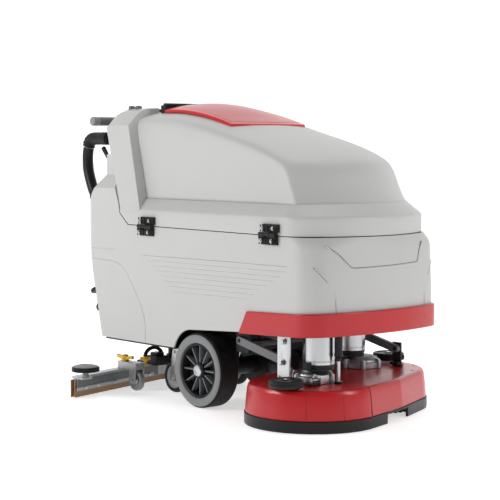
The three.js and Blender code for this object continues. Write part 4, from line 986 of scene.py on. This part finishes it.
# %% Spin the drive wheels
TYRE_WALL = [(98, -39), (103, -43.5), (112, -45), (121, -45), (128, -42.5), (130, -38), (130, 38),
             (128, 42.5), (121, 45), (112, 45), (103, 43.5), (98, 39), (98, -39)]
TYRE_TREAD = [(128.5, -41), (131.5, -39.5), (134.4, -35), (135, -30), (135, 30), (134.4, 35),
              (131.5, 39.5), (128.5, 41), (128.5, -41)]
RIM_DISH = [(0, -37), (96.7, -37), (96.7, 38), (94, 40), (90, 38), (87, 8), (30, 8), (29, 30), (26, 36),
            (22, 37), (0, 37)]
HUB_CAP = [(0, 34), (21, 34), (21, 41), (18, 44), (12, 44.5), (11, 42.8), (0, 42.8)]
SPOKES = 12


def turned_block(low, high, bevel, angle):
    """A block swung about Z."""
    shape = block(low, high, bevel)
    bmesh.ops.rotate(shape, cent=(0, 0, 0), matrix=Matrix.Rotation(angle, 3, "Z"), verts=shape.verts)
    return shape


for side, s in SIDES:
    place = at(0, s * 276, 135)
    turn = AXIS_LEFT if s > 0 else AXIS_RIGHT
    body = f"drive_wheel_{side}"
    spun_piece(f"tyre_wall_{side}", TYRE_WALL, place, SIDEWALL, body, f"tyre_{side}", turn, 96, 50)
    spun_piece(f"tyre_tread_{side}", TYRE_TREAD, place, TREAD, body, (), turn, 96, 50)
    spun_piece(f"rim_dish_{side}", RIM_DISH, place, BLACK, body, f"rim_{side}", turn, 72, 30)
    spokes = [turned_block((0.024, -0.0026, 0.004), (0.090, 0.0026, 0.030), 0.0014, math.tau * k / SPOKES)
              for k in range(SPOKES)]
    piece(f"rim_spokes_{side}", moved(joined(*spokes), place, turn), GRIP, body)
    spun_piece(f"hub_cap_{side}", HUB_CAP, place, CAN_STEEL, body, (), turn)
print("wheels done")

# %% [markdown]
# ## The brush deck
# A glossy red cover with a soft shoulder stands on black skirts. A dark split runs down its side, drawn
# as a line of painted shade with two faint crease lines beside it, and the cover has bolt holes on top.

# %% Finish the deck cover and its skirts
LOBES = {"right": (474, -195, 228), "left": (358, 185, 206)}
WAIST = (416, -5, 229)
COVER_WALL = ((-3, 41), (2, 41), (4, 43), (3.5, 46), (0, 90), (-4, 122), (-6, 130), (-10, 136.5),
              (-16, 139.6), (-24, 140))  # out from the lobes, height
COVER_HOLLOW = ((-3, 36), (-6, 90), (-12, 126), (-20, 134))
SKIRT_LIP = ((4.2, 33), (6.2, 33.5), (6.9, 37), (6.2, 40.4), (4.2, 40.6))
SIDE_LINE = ((4, 44), (0, 90), (-4, 122), (-6, 130), (-10, 136.5), (-20, 139.8))
HOLE_ANGLES = {"right": (200, 250, 300, 20), "left": (60, 110, 160, 20)}
BOLT_HOLE = [(0, 137), (5.5, 137), (5.5, 139), (8.5, 141), (0, 141)]


def deck_ring(offset, z, steps=96):
    """The outline round both lobes, as the hull of three circles."""
    ring = []
    for k in range(steps):
        direction = Vector((math.cos(math.tau * k / steps), math.sin(math.tau * k / steps)))
        circles = (*LOBES.values(), WAIST)
        x, y, radius = max(circles, key=lambda c: c[0] * direction.x + c[1] * direction.y + c[2])
        ring.append(at(x + (radius + offset) * direction.x, y + (radius + offset) * direction.y, z))
    return ring


cover = loft([deck_ring(*station) for station in COVER_WALL])
holes = []
for side, (x, y, radius) in LOBES.items():
    holes.append(moved(turned(round_bar(30, 100, 150), 32), at(x, y, 0)))
    for degrees in HOLE_ANGLES[side]:
        a = math.radians(degrees)
        spot = at(x + (radius - 34) * math.cos(a), y + (radius - 34) * math.sin(a), 0)
        holes.append(moved(turned(BOLT_HOLE, 20), spot))
cover = combined(cover, [loft([deck_ring(*station) for station in COVER_HOLLOW]), *holes])
piece("deck_cover_moulding", cover, RED, "deck", "deck_cover", smooth=30)
for side, _ in SIDES:
    edged(f"skirt_{side}", HOSE_RUBBER, 0.003, 3, smooth=40)
lip = loft([deck_ring(*station) for station in SKIRT_LIP], capped=False)
piece("skirt_clamp_lip", lip, BLACK, "deck", smooth=50)


def deck_side_line(x, y, radius):
    """A dark upright line of painted shade on the cover's side, at the outline's point nearest to a place.
    """
    outline = deck_ring(0, 0, 192)
    nearest = min(range(192), key=lambda k: (outline[k] - at(x, y, 0)).length)
    route = [deck_ring(offset + 0.1, z, 192)[nearest] for offset, z in SIDE_LINE]
    return tube(route, radius * MM, 6)


# The split and the creases are painted shade: dark lines where the gap and the folds fall into shadow.
piece("deck_split_painted_shade", deck_side_line(690, -130, 1.6), RED_SHADE, "deck", smooth=60)
crease_shades = joined(deck_side_line(620, -367, 0.45), deck_side_line(689, -263, 0.45))
piece("deck_crease_shades", crease_shades, RED_SHADE, "deck", smooth=60)
print("deck done")

# %% [markdown]
# ## Brush motors and gearboxes
# Each brush has a bright steel can motor on a cast gearbox with six lugs. The cans are spun with their
# end caps and crimped rings, and the lugs carry bolts.

# %% Build the motors and gearboxes
GEARBOX_PLACE = {"right": (474, -195), "left": (338, 168)}
DECK_SEAT = 140.3
GEARBOX = [(0, 0), (66, 0), (68, 2), (68, 20), (62, 24), (60, 30), (54, 33), (48, 40), (46, 43.5), (0, 43.5)]
LUG = [(0, 0), (10.5, 0), (10.5, 26), (9, 29), (0, 29)]
LUGS = 6
LUG_REACH = 68.5
MOTOR_END = [(0, 184.7), (51, 184.7), (51, 196), (53.5, 197), (53.5, 204), (50, 205), (0, 205)]
MOTOR_CAN = [(0, 204), (54.6, 204), (55, 205), (55, 214), (54, 215), (54, 217), (55, 218), (55, 372),
             (54, 373.4), (54, 375), (55, 376.4), (52, 385), (44, 388), (0, 388)]

for side, _ in SIDES:
    centre = at(*GEARBOX_PLACE[side], DECK_SEAT)
    parts = [moved(turned(GEARBOX, 64), centre)]
    heads = []
    for k in range(LUGS):
        a = math.tau * k / LUGS + 0.4
        spot = centre + Vector((math.cos(a), math.sin(a), 0)) * LUG_REACH * MM
        parts.append(moved(turned(LUG, 24), spot))
        parts.append(moved(turned_block((0.030, -0.004, 0), (0.068, 0.004, 0.034), 0.001, a), centre))
        heads.append(bolt(5.5, 6, spot + Vector((0, 0, 0.0285))))
    casting = joined(*parts)
    piece(f"gearbox_casting_{side}", casting, CAST, "deck", f"gearbox_{side}", bevel=0.0008, segments=2)
    piece(f"gearbox_bolts_{side}", joined(*heads), STEEL, "deck")
    motor = f"brush_motor_{side}"
    foot = middle(motor)
    foot.z = 0
    spun_piece(f"motor_end_{side}", MOTOR_END, foot, BLACK_METAL, "deck", steps=64)
    spun_piece(f"motor_can_{side}", MOTOR_CAN, foot, CAN_STEEL, "deck", motor, UPRIGHT, 96, 25)
terminal = block(at(492, -262, 186), at(520, -240, 214), 0.003)
piece("motor_terminal_box", terminal, BLACK, "deck")
spout = turned([(0, 0), (9, 0), (9, 26), (7, 28), (0, 28)], 32)
valve = block(at(530, -236, 140.5), at(556, -196, 172), 0.003)
valve = joined(valve, moved(spout, at(538, -236, 156), AXIS_RIGHT))
piece("deck_valve_block", valve, STEEL, "deck")
tray = block(at(520, -285, 140.5), at(560, -240, 152), 0.003)
piece("deck_tray", tray, BLACK_METAL, "deck")
print("motors done")

# %% [markdown]
# ## Lift arms and upright plates
# The plates and arms are flat bar, cut and folded. They keep the working shape with a small bevel, and
# get bolts with washers at each pivot.

# %% Finish the lift linkage
PLATE_BOLTS = ((8, 7, 418, -290, 206), (8, 7, 427, -290, 278), (4.5, 4, 401, -284, 156),
               (4.5, 4, 443, -284, 156))  # radius, height and place
PLATE_BOSS = [(0, 0), (12, 0), (12, 24), (9, 26), (0, 26)]
STRUT = [(0, 140.4), (14, 140.4), (14, 147), (12, 149.4), (5.5, 149.4), (5.5, 216), (9, 218), (9, 226),
         (12, 230), (15, 234), (15, 242), (13.6, 243), (13.6, 372), (15, 373), (15, 395), (0, 395)]
ROLLER = [(0, -10), (50, -10), (55, -8), (58, -3), (58, 3), (56, 5), (56, 8), (58, 10), (58, 13),
          (54, 17.4), (46, 18), (44, 15), (16, 15), (13, 18), (0, 18)]

edged("upright_plate_right", STEEL, 0.001)
edged("upright_plate_left", BLACK_METAL, 0.001)
edged("lower_yoke", GRIP, 0.0015)
edged("upper_link", BLACK_METAL, 0.0015)
heads = [bolt(radius, height, at(*place), AXIS_RIGHT) for radius, height, *place in PLATE_BOLTS]
piece("plate_bolts_right", joined(*heads), STEEL, "deck")
clevis_foot = block(at(388, -276, 178), at(448, -262, 191), 0.002)
clevis_arm = block(at(388, -276, 192), at(402, -262, 236), 0.002)
piece("plate_clevis_right", joined(clevis_foot, clevis_arm), STEEL, "deck")
boss_foot = block(at(392, 262, 147), at(432, 275.5, 158), 0.002)
boss = moved(turned(PLATE_BOSS, 32), at(412, 283, 172), AXIS_LEFT)
piece("plate_boss_left", joined(boss_foot, boss), BLACK_METAL, "deck")
piece("plate_bolt_left", bolt(9, 8, at(420, 284, 152), AXIS_LEFT), STEEL, "deck")
strut_foot = middle("deck_strut")
strut_foot.z = 0
spun_piece("deck_strut_sleeve", STRUT, strut_foot, BLACK_METAL, "deck", "deck_strut", steps=40)
nut = turned(round_bar(13, 141, 151), 6)
rod = turned(round_bar(6, 150, 222), 32)
piece("deck_strut_rod", moved(joined(nut, rod), strut_foot), STEEL, "deck")
for side, _ in SIDES:
    roller = f"deck_roller_{side}"
    centre = middle(roller)
    spun_piece(f"deck_roller_wheel_{side}", ROLLER, centre, BLACK, roller, roller, UPRIGHT, 72, 30)
    piece(f"deck_roller_bolt_{side}", bolt(8, 5, centre + Vector((0, 0, 0.0145))), STEEL, roller)
print("linkage done")

# %% [markdown]
# ## The squeegee
# A coated bar carries two amber blades. Bumper rollers stand on its tips, and cast brackets carry a
# small grey wheel and a yellow wing knob on each side. A second yellow knob and a black mount with a
# rubber loop stand near the middle.

# %% Finish the squeegee
BAR_APEX = -614
BAR_SWEEP = 0.289
STRAP_SCREWS = (90, 180, 300, 400, 470)
TIP_RIM = [(0, 0.5), (47, 0.5), (50, 1.5), (52, 3), (53, 5), (51.4, 6.5), (51.4, 8.5), (53, 10),
           (51.4, 11.5), (51.4, 13.5), (53, 15), (50, 18.6), (47, 19), (0, 19)]
TIP_CAP = [(0, 18.6), (48, 18.6), (46, 21), (36, 24), (22, 25.4), (20, 23.6), (8, 23.6), (6, 25), (0, 25.4)]
SUPPORT_TYRE = [(30, -9), (34, -11.5), (38, -9.5), (40, -5), (40, 5), (38, 9.5), (34, 11.5), (30, 9),
                (30, -9)]
SUPPORT_CORE = [(0, -12), (8, -12), (10, -9), (14, -5), (27, -5), (29, -9), (31, -9), (31, 9), (29, 9),
                (27, 5), (14, 5), (10, 9), (8, 12), (0, 12)]
COLLAR = [(0, 0), (33, 0), (33, 8), (29, 10), (27.6, 12), (29, 14), (27.6, 16), (29, 18), (27.6, 20),
          (29, 22), (27, 25), (22.4, 26), (0, 26)]
HEIGHT_KNOB = [(0, 0), (7, 0), (7, 8), (5, 9), (5, 20), (9, 22), (11, 26), (11, 36), (9, 39), (0, 40)]
SCREW_HEAD = [(0, 0), (6, 0), (6, 3), (4, 4.4), (0, 4.4)]


def along_bar(s, y, forward, z):
    """A point on one straight half of the bar, from its front face."""
    return at(BAR_APEX + BAR_SWEEP * y + forward, s * y, z)


def bar_strip(s, ends, heights, forward, depth):
    """A flat strip on the bar's face."""
    (y0, y1), (z0, z1) = ends, heights
    corners = [along_bar(s, y, forward, z) for y, z in ((y0, z0), (y1, z0), (y1, z1), (y0, z1))]
    return plate(corners, Vector((-depth * MM, 0, 0)))


edged("squeegee_body", CAST, 0.001)
edged("squeegee_blade_front", BLADE, 0.0005, 1)
edged("squeegee_blade_rear", BLADE, 0.0005, 1)
edged("squeegee_carrier", BLACK_METAL, 0.002)
for side, s in SIDES:
    face = bar_strip(s, (32, 512), (26, 68), 1.2, 3)
    piece(f"bar_face_{side}", face, BAR_FACE, "squeegee", bevel=0.0006)
    strap = bar_strip(s, (60, 520), (27, 39), 3.4, 2.4)
    piece(f"blade_strap_{side}", strap, CAST, "squeegee", bevel=0.0008)
    screws = [moved(turned(SCREW_HEAD, 20), along_bar(s, y, 3.2, 33), AXIS_FRONT) for y in STRAP_SCREWS]
    piece(f"strap_screws_{side}", joined(*screws), STEEL, "squeegee")
    roller = f"tip_roller_{side}"
    foot = middle(roller)
    foot.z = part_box(roller)[0].z
    spun_piece(f"tip_roller_rim_{side}", TIP_RIM, foot, BLACK, roller, roller, UPRIGHT, 72, 25)
    spun_piece(f"tip_roller_cap_{side}", TIP_CAP, foot, GREY_RUBBER, roller, (), UPRIGHT, 72, 30)
    wheel = f"support_wheel_{side}"
    hub = middle(wheel)
    spun_piece(f"support_tyre_{side}", SUPPORT_TYRE, hub, GREY_RUBBER, wheel, wheel, AXIS_RIGHT, 64, 50)
    spun_piece(f"support_core_{side}", SUPPORT_CORE, hub, CAST, wheel, (), AXIS_RIGHT, 48, 30)
    heads = [bolt(6, 6, hub + Vector((0, end * 0.0232, 0)), AXIS_RIGHT if end < 0 else AXIS_LEFT)
             for end in (-1, 1)]
    piece(f"support_axle_bolts_{side}", joined(*heads), STEEL, "squeegee")
    edged(f"wing_knob_{side}", YELLOW, 0.0035, 3)
collar_foot = at(-545, 0, 88.6)
collar_bore = moved(turned(round_bar(22, -5, 40), 40), collar_foot)
collar = combined(moved(turned(COLLAR, 40), collar_foot), [collar_bore])
piece("suction_collar", collar, BLACK, "squeegee", smooth=40)
edged("squeegee_hose", HOSE_RUBBER, 0, smooth=60)
wings = block((-0.021, -0.004, 0.026), (0.021, 0.004, 0.038), 0.003)
knob = moved(joined(turned(HEIGHT_KNOB, 32), wings), at(-520, -158, 78.4), (0, 0, 40))
piece("height_knob", knob, YELLOW, "squeegee", smooth=40)
mount_foot = block(at(-566, -118, 78.5), at(-500, -60, 116), 0.004)
mount_top = block(at(-556, -108, 116), at(-512, -70, 128), 0.004)
piece("squeegee_mount_block", joined(mount_foot, mount_top), BLACK, "squeegee")
loop_angles = [math.pi * k / 16 for k in range(17)]
loop_route = [at(-533, -150 + 42 - 42 * math.cos(a), 112 + 36 * math.sin(a)) for a in loop_angles]
piece("squeegee_lift_loop", tube(loop_route, 0.0075, 20), HOSE_RUBBER, "squeegee", smooth=60)
print("squeegee done")

# %% [markdown]
# ## Casters, brushes, tap, handlebar and lever
# The smaller fittings are spun or bevelled from their working shapes. Each brush is a disc with five
# rings of bristle tufts.

# %% Finish the fittings
CASTER_TYRE = [(44, -15), (50, -17), (57, -14), (60, -8), (60, 8), (57, 14), (50, 17), (44, 15), (44, -15)]
CASTER_CORE = [(0, -17), (14, -17), (16, -12), (40, -10), (45, -14), (45, 14), (40, 10), (16, 12),
               (14, 17), (0, 17)]
BRUSH_DISC = [(0, 46), (90, 46), (92, 44), (188, 44), (189, 47), (189, 60), (60, 60), (48, 84), (26, 92),
              (26, 139), (0, 139)]
TUFT_ROWS = ((100, 30), (122, 36), (144, 42), (166, 48), (184, 54))  # radius, number of tufts
TAP_LEAN = 0.5
TAP_STEM = [(0, -27), (6, -27), (6, -22), (9, -21), (9, -14), (5.5, -13), (5.5, 8), (0, 8)]
TAP_KNOB = [(0, 10), (19, 10), (22.4, 12), (23, 15), (22.6, 20), (20, 24), (15, 26), (11, 25), (0, 25)]
TAP_FLUTES = 9
BAR_CAP = [(0, -26), (16.6, -26), (17.4, -24), (17.4, 2), (15.6, 5.4), (9, 6.6), (0, 7)]
GRIP_RIDGES = [(16.8 + 0.5 * (k % 2), -64 + 2.4 * k) for k in range(34)]
BAR_GRIP = [(0, -66), (16.4, -66), *GRIP_RIDGES, (16.4, 20), (0, 20)]
DRAIN_PLUG = [(0, 0), (15, 0), (17, 3), (17, 8), (0, 8)]


def tuft(place):
    """One bundle of bristles."""
    shape = bmesh.new()
    bmesh.ops.create_cone(shape, cap_ends=True, segments=6, radius1=0.0078, radius2=0.0052, depth=0.044)
    return moved(shape, place)


for side, _ in SIDES:
    edged(f"caster_fork_{side}", STEEL, 0.0012)
    wheel = f"caster_wheel_{side}"
    hub = middle(wheel)
    spun_piece(f"caster_tyre_{side}", CASTER_TYRE, hub, TREAD, wheel, wheel, AXIS_RIGHT, 64, 50)
    spun_piece(f"caster_core_{side}", CASTER_CORE, hub, GREY_RUBBER, wheel, (), AXIS_RIGHT, 48, 30)
    brush = f"brush_{side}"
    x, y, _ = LOBES[side]
    spun_piece(f"brush_block_{side}", BRUSH_DISC, at(x, y, 0), BLACK, brush, brush, UPRIGHT, 72, 30)
    tufts = []
    for reach, count in TUFT_ROWS:
        for k in range(count):
            a = math.tau * k / count
            tufts.append(tuft(at(x + reach * math.cos(a), y + reach * math.sin(a), 23.2)))
    piece(f"brush_tufts_{side}", joined(*tufts), BRISTLE, brush, smooth=60)
edged("tap_body", BLACK, 0.002)
tap_axis = Vector((-math.sin(TAP_LEAN), 0, math.cos(TAP_LEAN)))
tap_centre = middle("tap_knob")
piece("tap_stem", leaned(turned(TAP_STEM, 32), tap_centre, tap_axis), STEEL, "tap")
flutes = []
for k in range(TAP_FLUTES):
    a = math.tau * k / TAP_FLUTES
    place = Vector((0.0245 * math.cos(a), 0.0245 * math.sin(a), 0))
    flutes.append(moved(turned(round_bar(3.2, 0, 40), 16), place))
knob = leaned(combined(turned(TAP_KNOB, 48), flutes), tap_centre, tap_axis)
piece("tap_hand_knob", knob, BLACK, "tap", "tap_knob", smooth=30)
edged("handlebar", GRIP, 0.001, smooth=40)
for side, s in SIDES:
    turn = AXIS_LEFT if s > 0 else AXIS_RIGHT
    end, hold = at(-680, s * 285, 1032), at(-680, s * 236, 1032)
    spun_piece(f"handlebar_cap_{side}", BAR_CAP, end, GREY_RUBBER, "chassis", (), turn, 40, 40)
    spun_piece(f"handlebar_grip_{side}", BAR_GRIP, hold, GRIP, "chassis", (), turn, 40, 60)
edged("squeegee_lever", BLACK, 0.0035, 3)
edged("chassis_frame", BLACK_METAL, 0.0015)
edged("transaxle", BLACK_METAL, 0.0015)
edged("vacuum_motor", BLACK, 0.003)
edged("solution_tank", SHELL, 0.003)
edged("battery_right", BATTERY, 0.003)
edged("battery_left", BATTERY, 0.003)
spun_piece("underside_plug", DRAIN_PLUG, at(-548, -200, 188), BLACK, "chassis", steps=32)
print("fittings done")

# %% [markdown]
# ## Floor and light
# The room is bright behind the machine and dim in front of it, so glossy faces keep their deep colour
# and metals have something dark to mirror. The pale floor glows slightly, which keeps it as white as
# the backdrop. Three soft panels light the right flank, the front and the top.

# %% Set the floor and lights
BACKDROP = (-0.756, 0.654, -0.02)
BRIGHT, DIM = 1.3, 0.2
FLOOR_GLOW = 0.55
WHITE = (1, 1, 1, 1)
PANELS = (  # name, place, aim, size and power
    ("key", (-1.6, -4.2, 2.2), (0, 0, 0.6), (1.8, 1.4), 92),
    ("front", (4.2, 1.6, 2.2), (0.3, 0, 0.5), (1.0, 1.6), 54),
    ("top", (0.0, 0.6, 3.8), (0, 0, 0.6), (2.4, 2.4), 34),
)

FLOOR = finish("studio floor", (0.93, 0.93, 0.93), 0.6, grain=40, bump=0.0, mottle=0.01)
floor_shader = FLOOR.node_tree.nodes["Principled BSDF"]
floor_shader.inputs["Emission Color"].default_value = WHITE
floor_shader.inputs["Emission Strength"].default_value = FLOOR_GLOW
floor_shape = bmesh.new()
bmesh.ops.create_grid(floor_shape, x_segments=1, y_segments=1, size=60)
floor_mesh = bpy.data.meshes.new("floor")
floor_shape.to_mesh(floor_mesh)
floor_shape.free()
floor_mesh.materials.append(FLOOR)
floor = bpy.data.objects.new("floor", floor_mesh)
bpy.context.scene.collection.objects.link(floor)
floor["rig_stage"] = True


def light_room():
    """A world that is bright towards the backdrop and dim on the other side."""
    world = bpy.data.worlds.new("studio")
    bpy.context.scene.world = world
    world.use_nodes = True
    tree = world.node_tree
    sky = tree.nodes["Background"]
    sky.inputs["Color"].default_value = WHITE
    place = add_node(tree, "ShaderNodeTexCoord")
    towards = add_node(tree, "ShaderNodeVectorMath", operation="DOT_PRODUCT")
    towards.inputs[1].default_value = BACKDROP
    ramp = add_node(tree, "ShaderNodeMapRange")
    for key, value in (("From Min", 0.1), ("From Max", 0.85), ("To Min", DIM), ("To Max", BRIGHT)):
        ramp.inputs[key].default_value = value
    tree.links.new(place.outputs["Generated"], towards.inputs[0])
    tree.links.new(towards.outputs["Value"], ramp.inputs["Value"])
    tree.links.new(ramp.outputs["Result"], sky.inputs["Strength"])


def panel(name, place, aim, size, power):
    """A soft rectangular lamp that looks at a point."""
    light = bpy.data.lights.new(name, "AREA")
    light.shape = "RECTANGLE"
    light.size, light.size_y = size
    light.energy = power
    lamp = bpy.data.objects.new(name, light)
    bpy.context.scene.collection.objects.link(lamp)
    lamp.location = place
    lamp.rotation_euler = (Vector(aim) - Vector(place)).to_track_quat("-Z", "Y").to_euler()


light_room()
for values in PANELS:
    panel(*values)
bpy.context.scene.view_settings.view_transform = "Standard"
print("studio ready")

# %% [markdown]
# ## Sizes and the end
# The last line prints the box round every visible piece, leaving out the floor.

# %% Write the sizes and finish
low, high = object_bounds()
print("visual", [round(v, 4) for v in (*low, *high)])
